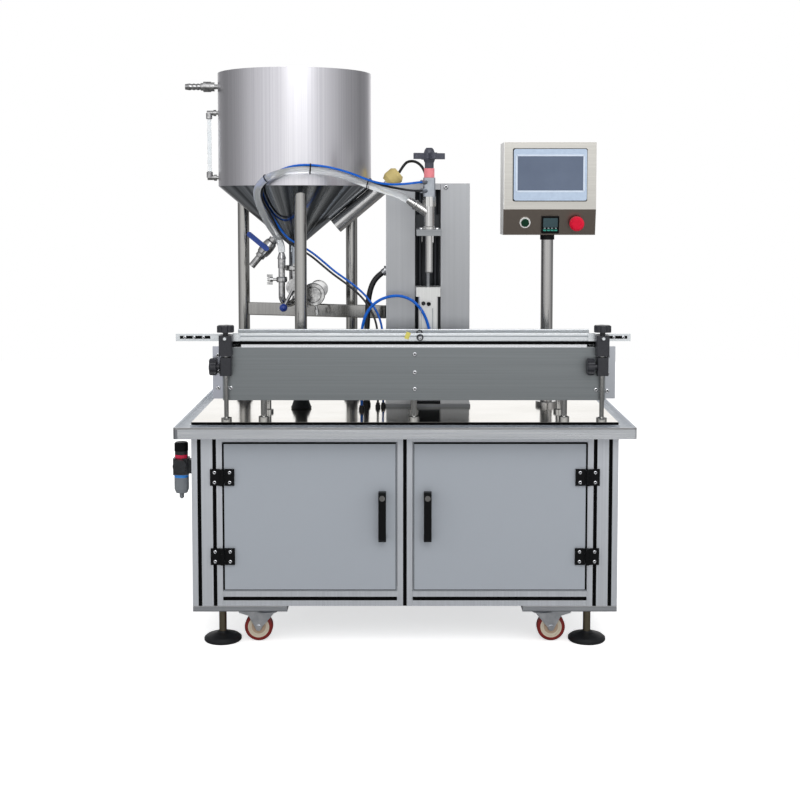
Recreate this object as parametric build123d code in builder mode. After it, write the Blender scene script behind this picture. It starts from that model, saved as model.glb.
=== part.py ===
from build123d import *
import os
from math import atan2, cos, pi, radians, sin, sqrt, tan

os.makedirs("parts", exist_ok=True)

# A jar filling machine: a heated hopper on three legs feeds a metering valve, a nozzle fills
# jars on a slat conveyor, and all of it stands on a wheeled cabinet of slotted aluminium bars.
# Millimetres. X runs along the conveyor, Y to the back, Z up. The origin lies on the floor,
# under the middle of the cabinet.

# Clearances between neighbouring pieces
seat_gap = 0.2
slide_play = 0.05
screw_play = 0.3

# Cabinet frame of slotted bars
cabinet_w = 1120.0
cabinet_d = 710.0
bar = 40.0
corner_w = 80.0
slot_mouth = 8.2
slot_lip = 4.0
slot_chamber_w = 17.0
slot_chamber_d = 6.0
post_h = 478.0
plate_t = 15.0
plate_w = 249.0
plate_d = 120.0

# Tray and table
board_t = 10.0
sheet_t = 2.0
tray_w = 1200.0
tray_d = 800.0
rim_h = 30.0
rim_corner_r = 8.0
gutter_drop = 7.0

# Levelling feet
foot_x = 489.0
foot_y = 297.0
foot_r = 50.0
foot_h = 26.0
stem_r = 10.0
stem_above_plate = 33.0
nut_across = 30.0
nut_h = 10.0

# Casters
caster_x = 370.0
caster_y = 297.0
caster_h = 94.0
wheel_r = 37.5
wheel_w = 25.0
wheel_hub_r = 25.0
caster_trail = 22.0
fork_t = 2.5
crown_t = 3.0
crown_r = 30.0
axle_r = 4.0
kingpin_r = 6.0
top_plate_l = 95.0
top_plate_w = 67.0
top_plate_t = 4.0
race_r = 22.0

# Doors
door_t = 12.0
door_gap = 1.5
hinge_h = 44.0
hinge_leaf_w = 26.0
hinge_leaf_t = 5.0
knuckle_r = 5.5
hinge_pin_r = 3.0
hinge_inset = 70.0
pull_h = 130.0
pull_w = 20.0
pull_reach = 30.0
pull_top_z = 417.0
pull_from_edge = 38.0
lock_r = 7.5
lock_drop = 13.0
cam_l = 48.0
cam_w = 14.0
cam_t = 3.0

# Cords: clear product hose, air tubes, cable conduit and heater lead
hose_d = 20.0
strand_d = 6.0
lift_tube_d = 8.0
conduit_d = 16.0
lead_d = 8.0

# Hopper stand
hopper_x = -317.0
hopper_y = 62.0
hopper_r = 220.0
hopper_rim_z = 1542.0
hopper_edge_z = 1221.0
jacket_gap = 22.0
shell_t = 2.0
neck_r = 19.0
neck_flange_r = 25.0
neck_flange_h = 5.0
neck_top_z = 1052.0
neck_bottom_z = 985.0
leg_r = 17.0
leg_circle_r = 180.0
leg_angles = (-81.0, 27.0, 153.0)
leg_wall = 2.0
leg_cap_r = 29.0
leg_cap_h = 24.0

# Conveyor
conveyor_x = 24.0
conveyor_y = -245.0
conveyor_w = 140.0
belt_top_z = 804.0
belt_w = 114.0
slat_pitch = 38.1
straight_slats = 25
sprocket_teeth = 8
slat_t = 4.0
slat_joint = 0.4
side_top_z = 793.0
side_h = 141.0
side_t = 3.0
side_l = 1010.0
side_flange = 14.0
end_l = 26.0
end_h = 138.0
shaft_r = 10.0
post_r = 8.0
post_span = 398.0

# Guide rails and their brackets
rail_w = 10.0
rail_h = 21.0
rail_lift = 4.0
front_rail_y = -303.0
rear_rail_y = -187.0
rail_l = 958.0
bracket_span = 494.5
bracket_rod_r = 6.0
bracket_rod_y = -326.0
rail_rod_r = 4.0

# Column, lift cylinder and nozzle
column_x = 65.0
column_front_y = -88.0
column_d = 120.0
column_h = 627.0
cover_w = 81.0
column_slot_w = 72.0
nozzle_y = -245.0
nozzle_tip_z = 986.0
nozzle_tube_r = 9.5
nozzle_bore_r = 7.5
carriage_z = 1085.0
carriage_h = 17.0
carriage_w = 66.0
guide_rod_r = 6.0
guide_rod_x = 22.0
guide_rod_y = -52.0
cylinder_y = -123.0
cylinder_w = 54.0
cylinder_top_z = 941.0
cylinder_h = 220.0
cylinder_head_h = 26.0
cylinder_head_w = 69.0
piston_rod_r = 5.0
piston_r = 20.0
piston_t = 12.0

# Operator panel
panel_x = 402.0
panel_y = -55.0
panel_size = 256.0
panel_depth = 120.0
panel_bottom_z = 1084.0
pole_r = 17.0
pole_flange_r = 30.0
pole_flange_h = 12.0
collar_h = 14.0

# Places worked out from the sizes above
frame_bottom_z = caster_h + 1.0
frame_z = frame_bottom_z + plate_t
frame_top_z = frame_z + post_h
board_bottom_z = frame_top_z + sheet_t
board_top_z = board_bottom_z + board_t
half_w = cabinet_w / 2
half_d = cabinet_d / 2
mid_post_y = half_d - bar / 2


def at(x, y, z, direction=(0, 0, 1)):
    """A work plane at a point, facing along a direction."""
    return Plane(origin=(x, y, z), z_dir=direction)


def round_bar(start, end, radius, bore=0.0):
    """A straight round bar or tube from one point to another."""
    span = Vector(end) - Vector(start)
    with BuildPart() as piece:
        with BuildSketch(Plane(origin=start, z_dir=span)):
            Circle(radius)
            if bore:
                Circle(bore, mode=Mode.SUBTRACT)
        extrude(amount=span.length)
    return piece.part


def block(low, high, corner=0.0):
    """A box between two corners, with its upright edges rounded if a corner radius is given."""
    width, depth, height = high[0] - low[0], high[1] - low[1], high[2] - low[2]
    with BuildPart() as piece:
        with BuildSketch(at((low[0] + high[0]) / 2, (low[1] + high[1]) / 2, low[2])):
            if corner:
                RectangleRounded(width, depth, corner)
            else:
                Rectangle(width, depth)
        extrude(amount=height)
    return piece.part


def turned(axis_point, direction, profile):
    """A turned piece: profile lists (radius, distance along the axis) pairs, from end to end."""
    spin = Plane(origin=axis_point, z_dir=direction)
    side = Plane(origin=axis_point, x_dir=spin.x_dir, z_dir=spin.y_dir * -1)
    points = [(0, profile[0][1])] + list(profile) + [(0, profile[-1][1])]
    if profile[0][0] == 0:
        points = points[1:]
    if profile[-1][0] == 0:
        points = points[:-1]
    with BuildPart() as piece:
        with BuildSketch(side):
            with BuildLine():
                Polyline(*points, close=True)
            make_face()
        revolve(axis=Axis(axis_point, direction))
    return piece.part


def keep(part, name):
    """Name a finished piece and write it as its own file."""
    part.label = name
    export_step(part, f"parts/{name}.step")


# The slotted aluminium bar: T-shaped slots run along every face, one for each 40 mm
def slotted_section(cells_x, cells_y):
    width, height = cells_x * bar, cells_y * bar
    with BuildSketch() as section:
        Rectangle(width, height)
        for face_turn, across, reach in ((0, cells_x, height), (90, cells_y, width)):
            for side in (0, 180):
                for cell in range(across):
                    off = (cell - (across - 1) / 2) * bar
                    turn = radians(face_turn + side)
                    for slot_w, depth in (
                        (slot_mouth, slot_lip + 1),
                        (slot_chamber_w, slot_chamber_d),
                    ):
                        start = 0 if slot_w == slot_mouth else slot_lip
                        middle = reach / 2 - start - depth / 2
                        x = off * cos(turn) - middle * sin(turn)
                        y = off * sin(turn) + middle * cos(turn)
                        with Locations((x, y)):
                            Rectangle(
                                slot_w,
                                depth,
                                rotation=face_turn + side,
                                mode=Mode.SUBTRACT,
                            )
    return section.sketch


sections = {(1, 1): slotted_section(1, 1), (2, 1): slotted_section(2, 1)}


def slotted_bar(start, direction, cross, cells_x, cells_y, length):
    """A length of slotted bar; cross is the direction in which cells_x are counted."""
    with BuildPart() as piece:
        with BuildSketch(Plane(origin=start, x_dir=cross, z_dir=direction)):
            add(sections[cells_x, cells_y])
        extrude(amount=length)
    return piece.part


corner_x = half_w - corner_w / 2
bay_l = half_w - corner_w - bar / 2 - 2 * seat_gap
side_bar_l = cabinet_d - 2 * bar - 2 * seat_gap
bars = []
for sy in (-1, 1):
    y = sy * mid_post_y
    for sx in (-1, 1):
        bars.append(slotted_bar((sx * corner_x, y, frame_z), (0, 0, 1), (1, 0, 0), 2, 1, post_h))
    bars.append(slotted_bar((0, y, frame_z), (0, 0, 1), (1, 0, 0), 1, 1, post_h))
for z in (frame_z + bar / 2, frame_top_z - bar / 2):
    for sy in (-1, 1):
        for start_x in (bar / 2 + seat_gap, -half_w + corner_w + seat_gap):
            start = (start_x, sy * mid_post_y, z)
            bars.append(slotted_bar(start, (1, 0, 0), (0, 1, 0), 1, 1, bay_l))
    for sx in (-1, 1):
        start = (sx * (half_w - bar / 2), -side_bar_l / 2, z)
        bars.append(slotted_bar(start, (0, 1, 0), (1, 0, 0), 1, 1, side_bar_l))
with BuildPart() as cabinet_profiles:
    add(bars)
keep(cabinet_profiles.part, "cabinet_profiles")

# Side, back and floor panels: the upright ones sit in the slots of the bars
panel_t = slot_mouth - 2 * screw_play
panel_grip = slot_lip
opening_low_z = frame_z + bar
opening_high_z = frame_top_z - bar
floor_t = 3.0
floor_rest = 14.0
floor_play = 1.0
panels = []
for sx in (-1, 1):
    x = sx * (half_w - bar / 2)
    low = (x - panel_t / 2, -half_d + bar - panel_grip, opening_low_z - panel_grip)
    high = (x + panel_t / 2, half_d - bar + panel_grip, opening_high_z + panel_grip)
    panels.append(block(low, high))
for start_x in (-half_w + corner_w, bar / 2):
    end_x = start_x + half_w - corner_w - bar / 2
    low = (start_x - panel_grip, mid_post_y - panel_t / 2, opening_low_z - panel_grip)
    high = (end_x + panel_grip, mid_post_y + panel_t / 2, opening_high_z + panel_grip)
    panels.append(block(low, high))
with BuildPart() as cabinet_floor:
    with BuildSketch(at(0, 0, opening_low_z)):
        Rectangle(2 * (half_w - bar + floor_rest), 2 * (half_d - bar + floor_rest))
        for sy in (-1, 1):
            for post_x, post_w in ((-corner_x, corner_w), (0, bar), (corner_x, corner_w)):
                with Locations((post_x, sy * mid_post_y)):
                    Rectangle(post_w + 2 * floor_play, bar + 2 * floor_play, mode=Mode.SUBTRACT)
    extrude(amount=floor_t)
panels.append(cabinet_floor.part)
with BuildPart() as cabinet_panels:
    add(panels)
keep(cabinet_panels.part, "cabinet_panels")

corners = [(sx, sy) for sx in (-1, 1) for sy in (-1, 1)]

# Levelling feet: a dished pad, a threaded stem and the nut that locks it under the plate
stem_top_z = frame_z + stem_above_plate
pads = []
for sx, sy in corners:
    profile = [
        (foot_r - 3, 0),
        (foot_r, 3),
        (foot_r, 9),
        (foot_r - 6, 14),
        (stem_r + 6, foot_h - 3),
        (stem_r + 3, foot_h),
        (stem_r, foot_h),
        (stem_r, stem_top_z - 1.5),
        (stem_r - 1.5, stem_top_z),
    ]
    pads.append(turned((sx * foot_x, sy * foot_y, 0), (0, 0, 1), profile))
with BuildPart() as levelling_feet:
    add(pads)
    with BuildSketch(at(0, 0, frame_bottom_z - seat_gap)):
        with Locations(*[(sx * foot_x, sy * foot_y) for sx, sy in corners]):
            RegularPolygon(nut_across / 2, 6, major_radius=False)
    extrude(amount=-nut_h)
keep(levelling_feet.part, "levelling_feet")

# Thick plates under the frame's corners, with the holes of the feet and the casters
top_hole_r = 4.5
top_hole_l = 75.0
top_hole_w = 45.0
with BuildPart() as thick_plates:
    with BuildSketch(at(0, 0, frame_bottom_z)):
        for sx, sy in corners:
            with Locations((sx * (half_w - plate_w / 2), sy * (half_d - plate_d / 2))):
                Rectangle(plate_w, plate_d)
            with Locations((sx * foot_x, sy * foot_y)):
                Circle(stem_r + screw_play, mode=Mode.SUBTRACT)
            with Locations((sx * caster_x, sy * caster_y)):
                with GridLocations(top_hole_l, top_hole_w, 2, 2):
                    Circle(top_hole_r, mode=Mode.SUBTRACT)
    extrude(amount=plate_t)

# Casters: a fixed top plate with the ball race and kingpin, a swivelling fork and a wheel
top_plate_z = frame_bottom_z - top_plate_t
axle_z = frame_bottom_z - caster_h + wheel_r
crown_z = top_plate_z - 8.6
race_gap = 0.4
pin_head_h = 3.0
races = []
for sx, sy in corners:
    under = crown_z - crown_t - race_gap
    profile = [
        (kingpin_r + 3, under - pin_head_h),
        (kingpin_r + 3, under),
        (kingpin_r, under),
        (kingpin_r, crown_z + race_gap),
        (race_r - 5, crown_z + race_gap),
        (race_r, crown_z + 4),
        (race_r + 4, top_plate_z),
    ]
    races.append(turned((sx * caster_x, sy * caster_y, 0), (0, 0, 1), profile))
with BuildPart() as caster_tops:
    with BuildSketch(at(0, 0, top_plate_z)):
        for sx, sy in corners:
            with Locations((sx * caster_x, sy * caster_y)):
                Rectangle(top_plate_l, top_plate_w)
                with GridLocations(top_hole_l, top_hole_w, 2, 2):
                    Circle(top_hole_r, mode=Mode.SUBTRACT)
    extrude(amount=top_plate_t - seat_gap)
    add(races)
with BuildPart() as corner_plates:
    add([thick_plates.part, caster_tops.part])
keep(corner_plates.part, "corner_plates")

fork_inside = wheel_w / 2 + 2.0
fork_foot_r = 9.0
fork_lead = 24.0
fork_reach = 26.0
brake_l = 44.0
brake_t = 4.0
brake_drop = 12.0
axle_head_r = 7.0
axle_head_t = 3.0
corner_names = {
    (-1, -1): "front_left",
    (1, -1): "front_right",
    (-1, 1): "rear_left",
    (1, 1): "rear_right",
}
for sx, sy in corners:
    x, y = sx * caster_x, sy * caster_y
    axle_x = x + sx * caster_trail
    side_points = [
        (x - sx * fork_lead, crown_z),
        (x + sx * (crown_r + brake_l), crown_z),
        (x + sx * (crown_r + brake_l), crown_z - brake_t),
        (axle_x + sx * fork_reach, crown_z - brake_drop),
        (axle_x + sx * fork_foot_r, axle_z),
        (axle_x + sx * 4, axle_z - fork_foot_r),
        (axle_x - sx * 4, axle_z - fork_foot_r),
        (axle_x - sx * fork_foot_r, axle_z),
    ]
    with BuildPart() as caster_fork:
        with BuildSketch(at(x, y, crown_z)):
            Circle(crown_r)
            Circle(kingpin_r + slide_play, mode=Mode.SUBTRACT)
        extrude(amount=-crown_t)
        for side in (-1, 1):
            near = y + side * (fork_inside + fork_t / 2)
            with BuildSketch(Plane(origin=(0, near, 0), x_dir=(1, 0, 0), z_dir=(0, -1, 0))):
                with BuildLine():
                    Polyline(*side_points, close=True)
                make_face()
            extrude(amount=fork_t / 2, both=True)
        with BuildSketch(at(x + sx * (crown_r + brake_l / 2 + 12), y, crown_z)):
            Rectangle(brake_l - 24, 2 * fork_inside)
        extrude(amount=-brake_t)
        reach = fork_inside + fork_t + axle_head_t
        add(round_bar((axle_x, y - reach, axle_z), (axle_x, y - reach + axle_head_t, axle_z), axle_head_r))
        add(round_bar((axle_x, y - reach, axle_z), (axle_x, y + reach, axle_z), axle_r))
        add(round_bar((axle_x, y + reach - axle_head_t, axle_z), (axle_x, y + reach, axle_z), axle_head_r))
    keep(caster_fork.part, f"caster_fork_{corner_names[sx, sy]}")

    half = wheel_w / 2
    rim = [
        (axle_r + slide_play, -half - 1),
        (axle_r + 6, -half - 1),
        (axle_r + 6, -half + 3),
        (wheel_hub_r, -half + 3),
        (wheel_hub_r, -half),
        (wheel_r - 3, -half),
        (wheel_r, -half + 3),
    ]
    mirrored = [(radius, -along) for radius, along in reversed(rim)]
    with BuildPart() as caster_wheel:
        with BuildSketch(Plane(origin=(axle_x, y, axle_z), x_dir=(1, 0, 0), z_dir=(0, 0, 1))):
            with BuildLine():
                Polyline(*rim, *mirrored, close=True)
            make_face()
        revolve(axis=Axis((axle_x, y, axle_z), (0, 1, 0)))
    keep(caster_wheel.part, f"caster_wheel_{corner_names[sx, sy]}")

# Drip tray: one folded sheet over the frame's top, with a gutter and a rolled rim all round
skirt_x = half_w + seat_gap
skirt_y = half_d + seat_gap
gutter_z = board_top_z - gutter_drop - rim_h
with BuildPart() as drip_tray:
    with BuildSketch(at(0, 0, gutter_z)):
        RectangleRounded(tray_w, tray_d, rim_corner_r)
    extrude(amount=rim_h)
    with BuildSketch(at(0, 0, gutter_z + sheet_t)):
        RectangleRounded(tray_w - 2 * sheet_t, tray_d - 2 * sheet_t, rim_corner_r - sheet_t)
        Rectangle(2 * (skirt_x + sheet_t), 2 * (skirt_y + sheet_t), mode=Mode.SUBTRACT)
    extrude(amount=rim_h, mode=Mode.SUBTRACT)
    with BuildSketch(at(0, 0, gutter_z)):
        Rectangle(2 * skirt_x, 2 * skirt_y)
    extrude(amount=rim_h, mode=Mode.SUBTRACT)
    with BuildSketch(at(0, 0, gutter_z)):
        Rectangle(2 * (skirt_x + sheet_t), 2 * (skirt_y + sheet_t))
        Rectangle(2 * skirt_x, 2 * skirt_y, mode=Mode.SUBTRACT)
    extrude(amount=frame_top_z - gutter_z)
    with BuildSketch(at(0, 0, frame_top_z)):
        Rectangle(2 * (skirt_x + sheet_t), 2 * (skirt_y + sheet_t))
    extrude(amount=sheet_t)
keep(drip_tray.part, "drip_tray")

with BuildPart() as table_board:
    with BuildSketch(at(0, 0, board_bottom_z)):
        Rectangle(cabinet_w, cabinet_d)
    extrude(amount=board_t)
    edge = table_board.edges().group_by(Axis.Z)[-1]
    chamfer(edge, 1.5)
keep(table_board.part, "table_board")

# Doors: a flat leaf, two hinges with their pins, a pull with the lock in its head
door_low_z = opening_low_z + door_gap
door_high_z = opening_high_z - door_gap
door_front_y = -half_d
pin_x = half_w - corner_w - door_gap / 2
pin_y = door_front_y - hinge_leaf_t - 1.0
door_in_x = bar / 2 + door_gap
door_out_x = half_w - corner_w - door_gap
pull_x = door_in_x + pull_from_edge
lock_z = pull_top_z - lock_drop
hinge_low_zs = (door_low_z + hinge_inset, door_high_z - hinge_inset - hinge_h)
pull_low_z = pull_top_z - pull_h
pull_wall = 9.0
pull_foot_h = 24.0
leaf_gap = 0.3
knuckle_h = (hinge_h - 2 * seat_gap) / 3


def knuckle(sx, low_z, high_z, hole):
    """One knuckle of a hinge, bored for the pin when hole is given."""
    return round_bar((sx * pin_x, pin_y, low_z), (sx * pin_x, pin_y, high_z), knuckle_r, hole)


with BuildPart() as hinge_leaves:
    leaves = []
    for sx in (-1, 1):
        for low_z in hinge_low_zs:
            inner = pin_x + knuckle_r + leaf_gap
            outer = inner + hinge_leaf_w
            near, far = sorted((sx * inner, sx * outer))
            top_z = low_z + hinge_h
            leaves.append(block((near, -half_d - hinge_leaf_t, low_z), (far, -half_d, top_z)))
            for start, stop in ((low_z, low_z + knuckle_h), (top_z - knuckle_h, top_z)):
                near, far = sorted((sx * pin_x, sx * (inner + 1)))
                arm = block((near, pin_y - 2, start), (far, pin_y + 2, stop))
                leaves.append(arm)
                leaves.append(knuckle(sx, start, stop, 0.0))
            leaves.append(round_bar((sx * pin_x, pin_y, low_z), (sx * pin_x, pin_y, top_z), hinge_pin_r))
    add(leaves)
keep(hinge_leaves.part, "hinge_leaves")

for sx, side in ((-1, "left"), (1, "right")):
    near, far = sorted((sx * door_in_x, sx * door_out_x))
    with BuildPart() as door:
        add(block((near, door_front_y, door_low_z), (far, door_front_y + door_t, door_high_z)))
        with BuildSketch(Plane(origin=(sx * pull_x, door_front_y, lock_z), z_dir=(0, 1, 0))):
            Circle(lock_r + slide_play)
        extrude(amount=door_t, mode=Mode.SUBTRACT)
    keep(door.part, f"door_{side}")

    with BuildPart() as door_fittings:
        pieces = []
        for low_z in hinge_low_zs:
            inner = pin_x - knuckle_r - leaf_gap
            outer = inner - hinge_leaf_w
            near, far = sorted((sx * inner, sx * outer))
            top_z = low_z + hinge_h
            start, stop = low_z + knuckle_h + seat_gap, top_z - knuckle_h - seat_gap
            pieces.append(block((near, door_front_y - hinge_leaf_t, low_z), (far, door_front_y, top_z)))
            near, far = sorted((sx * pin_x, sx * (inner - 1)))
            pieces.append(block((near, pin_y - 2, start), (far, pin_y + 2, stop)))
            pieces.append(knuckle(sx, start, stop, 0.0))
        add(pieces)
        for low_z in hinge_low_zs:
            pin_hole = round_bar(
                (sx * pin_x, pin_y, low_z), (sx * pin_x, pin_y, low_z + hinge_h), hinge_pin_r + slide_play
            )
            add(pin_hole, mode=Mode.SUBTRACT)
        with BuildSketch(Plane(origin=(sx * pull_x, 0, 0), x_dir=(0, 1, 0), z_dir=(1, 0, 0))):
            with BuildLine():
                Polyline(
                    (door_front_y, pull_low_z),
                    (door_front_y - pull_reach + 8, pull_low_z),
                    (door_front_y - pull_reach, pull_low_z + 8),
                    (door_front_y - pull_reach, pull_top_z - 8),
                    (door_front_y - pull_reach + 8, pull_top_z),
                    (door_front_y, pull_top_z),
                    (door_front_y, pull_top_z - pull_foot_h),
                    (door_front_y - pull_reach + pull_wall, pull_top_z - pull_foot_h - 3),
                    (door_front_y - pull_reach + pull_wall, pull_low_z + pull_foot_h - 6),
                    (door_front_y, pull_low_z + pull_foot_h - 10),
                    close=True,
                )
            make_face()
        extrude(amount=pull_w / 2, both=True)
        with BuildSketch(Plane(origin=(sx * pull_x, door_front_y, lock_z), z_dir=(0, -1, 0))):
            Circle(lock_r + slide_play)
        extrude(amount=pull_reach, mode=Mode.SUBTRACT)
    keep(door_fittings.part, f"{side}_door_fittings")

    with BuildPart() as door_lock:
        front = (sx * pull_x, door_front_y - pull_reach - 1.0, lock_z)
        cam_y = -mid_post_y - cam_t / 2
        back = (sx * pull_x, cam_y, lock_z)
        add(round_bar(front, back, lock_r))
        with BuildSketch(Plane(origin=back, x_dir=(1, 0, 0), z_dir=(0, 1, 0))):
            with Locations((0, -cam_l / 2 + cam_w / 2)):
                Rectangle(cam_w, cam_l)
        extrude(amount=cam_t)
    keep(door_lock.part, f"{side}_lock")

# Hopper: an open bowl with a cone, inside a jacket that holds warm water
cone_run = hopper_r - neck_r
cone_drop = hopper_edge_z - neck_top_z
cone_len = sqrt(cone_run**2 + cone_drop**2)
bowl_r = hopper_r - jacket_gap
bowl_edge_z = hopper_edge_z + jacket_gap * (cone_len - cone_run) / cone_drop
bowl_neck_r = neck_r - shell_t
bowl_neck_z = bowl_edge_z - (bowl_r - bowl_neck_r) * cone_drop / cone_run
with BuildPart() as hopper:
    with BuildSketch(Plane(origin=(hopper_x, hopper_y, 0), x_dir=(1, 0, 0), z_dir=(0, -1, 0))):
        with BuildLine():
            Polyline(
                (neck_flange_r, neck_bottom_z),
                (neck_flange_r, neck_bottom_z + neck_flange_h),
                (neck_r, neck_bottom_z + neck_flange_h),
                (neck_r, neck_top_z),
                (hopper_r, hopper_edge_z),
                (hopper_r, hopper_rim_z),
                (bowl_r - shell_t, hopper_rim_z),
                (bowl_r - shell_t, bowl_edge_z),
                (bowl_neck_r, bowl_neck_z),
                (bowl_neck_r, neck_bottom_z),
                close=True,
            )
        make_face()
        with BuildLine():
            Polyline(
                (hopper_r - shell_t, hopper_edge_z + 1),
                (hopper_r - shell_t, hopper_rim_z - shell_t),
                (bowl_r, hopper_rim_z - shell_t),
                (bowl_r, bowl_edge_z),
                (bowl_neck_r + 12, bowl_neck_z + 12 * cone_drop / cone_run - 3),
                close=True,
            )
        make_face(mode=Mode.SUBTRACT)
    revolve(axis=Axis((hopper_x, hopper_y, 0), (0, 0, 1)))
keep(hopper.part, "hopper")

# Three tube legs under the cone, with black caps on the table
leg_spots = []
for angle in leg_angles:
    spot_x = hopper_x + leg_circle_r * cos(radians(angle))
    spot_y = hopper_y + leg_circle_r * sin(radians(angle))
    leg_spots.append((spot_x, spot_y))
leg_weld = 0.3
cone_over_leg = hopper_edge_z - (hopper_r - leg_circle_r - leg_r) * cone_drop / cone_run
with BuildPart() as cone_space:
    with BuildSketch(Plane(origin=(hopper_x, hopper_y, 0), x_dir=(1, 0, 0), z_dir=(0, -1, 0))):
        with BuildLine():
            Polyline(
                (0, neck_top_z - neck_r * cone_drop / cone_run - leg_weld),
                (hopper_r, hopper_edge_z - leg_weld),
                (0, hopper_edge_z - leg_weld),
                close=True,
            )
        make_face()
    revolve(axis=Axis((hopper_x, hopper_y, 0), (0, 0, 1)))
cap_floor = 3.0
cap_sleeve_r = leg_r + 4.0
leg_low_z = board_top_z + cap_floor + seat_gap
with BuildPart() as hopper_legs:
    with BuildSketch(at(0, 0, leg_low_z)):
        with Locations(*leg_spots):
            Circle(leg_r)
            Circle(leg_r - leg_wall, mode=Mode.SUBTRACT)
    extrude(amount=cone_over_leg - leg_low_z)
    add(cone_space.part, mode=Mode.SUBTRACT)

caps = []
for x, y in leg_spots:
    with BuildPart() as cap:
        with BuildSketch(Plane(origin=(x, y, board_top_z), x_dir=(1, 0, 0), z_dir=(0, -1, 0))):
            with BuildLine():
                Polyline(
                    (0, 0),
                    (leg_cap_r - 2, 0),
                    (leg_cap_r, 3),
                    (leg_cap_r - 3, 9),
                    (cap_sleeve_r, leg_cap_h),
                    (leg_r + seat_gap, leg_cap_h),
                    (leg_r + seat_gap, cap_floor),
                    (0, cap_floor),
                    close=True,
                )
            make_face()
        revolve(axis=Axis((x, y, 0), (0, 0, 1)))
    caps.append(cap.part)

# Fittings on the hopper's left: the filling union, and the two elbows of the level gauge
union_z = 1507.0
union_tip = 95.0
gauge_top_z = 1432.0
gauge_low_z = 1246.0
gauge_reach = 27.0
gauge_tube_r = 6.0
gauge_wall = 1.2
gauge_stub_l = 18.1
weld_gap = 0.3
left_wall_x = hopper_x - hopper_r - weld_gap
union_profile = [
    (7, 0),
    (7, 10),
    (13, 10),
    (13, 20),
    (15, 20),
    (15, 42),
    (11, 42),
    (11, 50),
    (8, 52),
    (10, 58),
    (8, 64),
    (10, 70),
    (8, 76),
    (10, 82),
    (8, union_tip),
    (5, union_tip),
    (5, 44),
    (0, 44),
]
elbow_arm = [(5, 0), (5, 6), (9, 6), (9, 14), (7, 14), (7, gauge_reach + 6), (0, gauge_reach + 6)]
gauge_x = left_wall_x - gauge_reach
# The drain valve hangs on the cone's left, on a branch that leaves square to the cone's wall
cone_angle = atan2(cone_drop, cone_run)
drain_way = Vector(-sin(cone_angle), 0, -cos(cone_angle))
drain_r = 52.0
drain_root = Vector(
    hopper_x - drain_r,
    hopper_y,
    neck_top_z + (drain_r - neck_r) * cone_drop / cone_run,
)
drain_start = drain_root + drain_way * weld_gap
drain_len = 118.0
drain_lever_at = 48.0
drain_body_r = 19.0
drain_body = [
    (8, 0),
    (8, 14),
    (14, 14),
    (14, 24),
    (17, 27),
    (drain_body_r, 40),
    (drain_body_r, 56),
    (17, 69),
    (14, 72),
    (14, 82),
    (10, 84),
    (10, drain_len),
    (6, drain_len),
    (6, 84),
    (0, 84),
]
with BuildPart() as hopper_fittings:
    pieces = [turned((left_wall_x, hopper_y, union_z), (-1, 0, 0), union_profile)]
    for z, way in ((gauge_top_z, -1), (gauge_low_z, 1)):
        pieces.append(turned((left_wall_x, hopper_y, z), (-1, 0, 0), elbow_arm))
        stub = [(9, 0), (9, 16), (gauge_tube_r, 18), (gauge_tube_r, gauge_stub_l), (0, gauge_stub_l)]
        pieces.append(turned((gauge_x, hopper_y, z), (0, 0, way), stub))
    pieces.append(turned(drain_start, drain_way, drain_body))
    add(pieces)
keep(hopper_fittings.part, "hopper_fittings")

tube_low_z = gauge_low_z + gauge_stub_l + seat_gap
tube_high_z = gauge_top_z - gauge_stub_l - seat_gap
with BuildPart() as gauge_tube:
    add(
        round_bar(
            (gauge_x, hopper_y, tube_low_z),
            (gauge_x, hopper_y, tube_high_z),
            gauge_tube_r,
            gauge_tube_r - gauge_wall,
        )
    )
keep(gauge_tube.part, "gauge_tube")

# Lever of the drain valve, on a stem square to the branch, turning a quarter
lever_shut_way = Vector(-cos(cone_angle), 0, sin(cone_angle))
lever_axis_way = Vector(0, -1, 0)
lever_seat = drain_start + drain_way * drain_lever_at + lever_axis_way * (drain_body_r + weld_gap)
lever_l = 78.0
lever_w = 15.0
lever_t = 4.0
lever_stem_h = 9.0
with BuildPart() as drain_lever:
    add(round_bar(lever_seat, (lever_seat + lever_axis_way * lever_stem_h), 6))
    lever_plane = Plane(
        origin=(lever_seat + lever_axis_way * lever_stem_h),
        x_dir=lever_shut_way,
        z_dir=lever_axis_way,
    )
    with BuildSketch(lever_plane):
        with Locations((lever_l / 2 - 9, 0)):
            SlotOverall(lever_l, lever_w)
    extrude(amount=lever_t)
keep(drain_lever.part, "drain_lever")

# Heater: a tube along the cone's right side, an oblique boss and the plug cap of its lead
heater_r = 22.0
heater_low = 110.0
heater_l = 174.0
heater_neck_l = 20.0
heater_cap_l = 46.0
heater_cap_r = 25.0
slope_way = Vector(cos(cone_angle), 0, sin(cone_angle))
off_way = Vector(sin(cone_angle), 0, -cos(cone_angle))
cone_foot = Vector(hopper_x + neck_r, hopper_y, neck_top_z)
heater_start = cone_foot + slope_way * heater_low + off_way * (heater_r + weld_gap)
heater_profile = [
    (heater_r, 0),
    (heater_r, heater_l),
    (15, heater_l),
    (15, heater_l + 8),
    (8, heater_l + 8),
    (8, heater_l + heater_neck_l),
    (heater_cap_r - 7, heater_l + heater_neck_l),
    (heater_cap_r, heater_l + heater_neck_l + 12),
    (heater_cap_r, heater_l + heater_neck_l + heater_cap_l - 10),
    (heater_cap_r - 8, heater_l + heater_neck_l + heater_cap_l),
]
with BuildPart() as heater:
    add(turned(heater_start, slope_way, heater_profile[:6]))
    add(
        turned(
            heater_start,
            slope_way,
            [(r, d + seat_gap) for r, d in heater_profile[6:]],
        )
    )
keep(heater.part, "heater")

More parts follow.
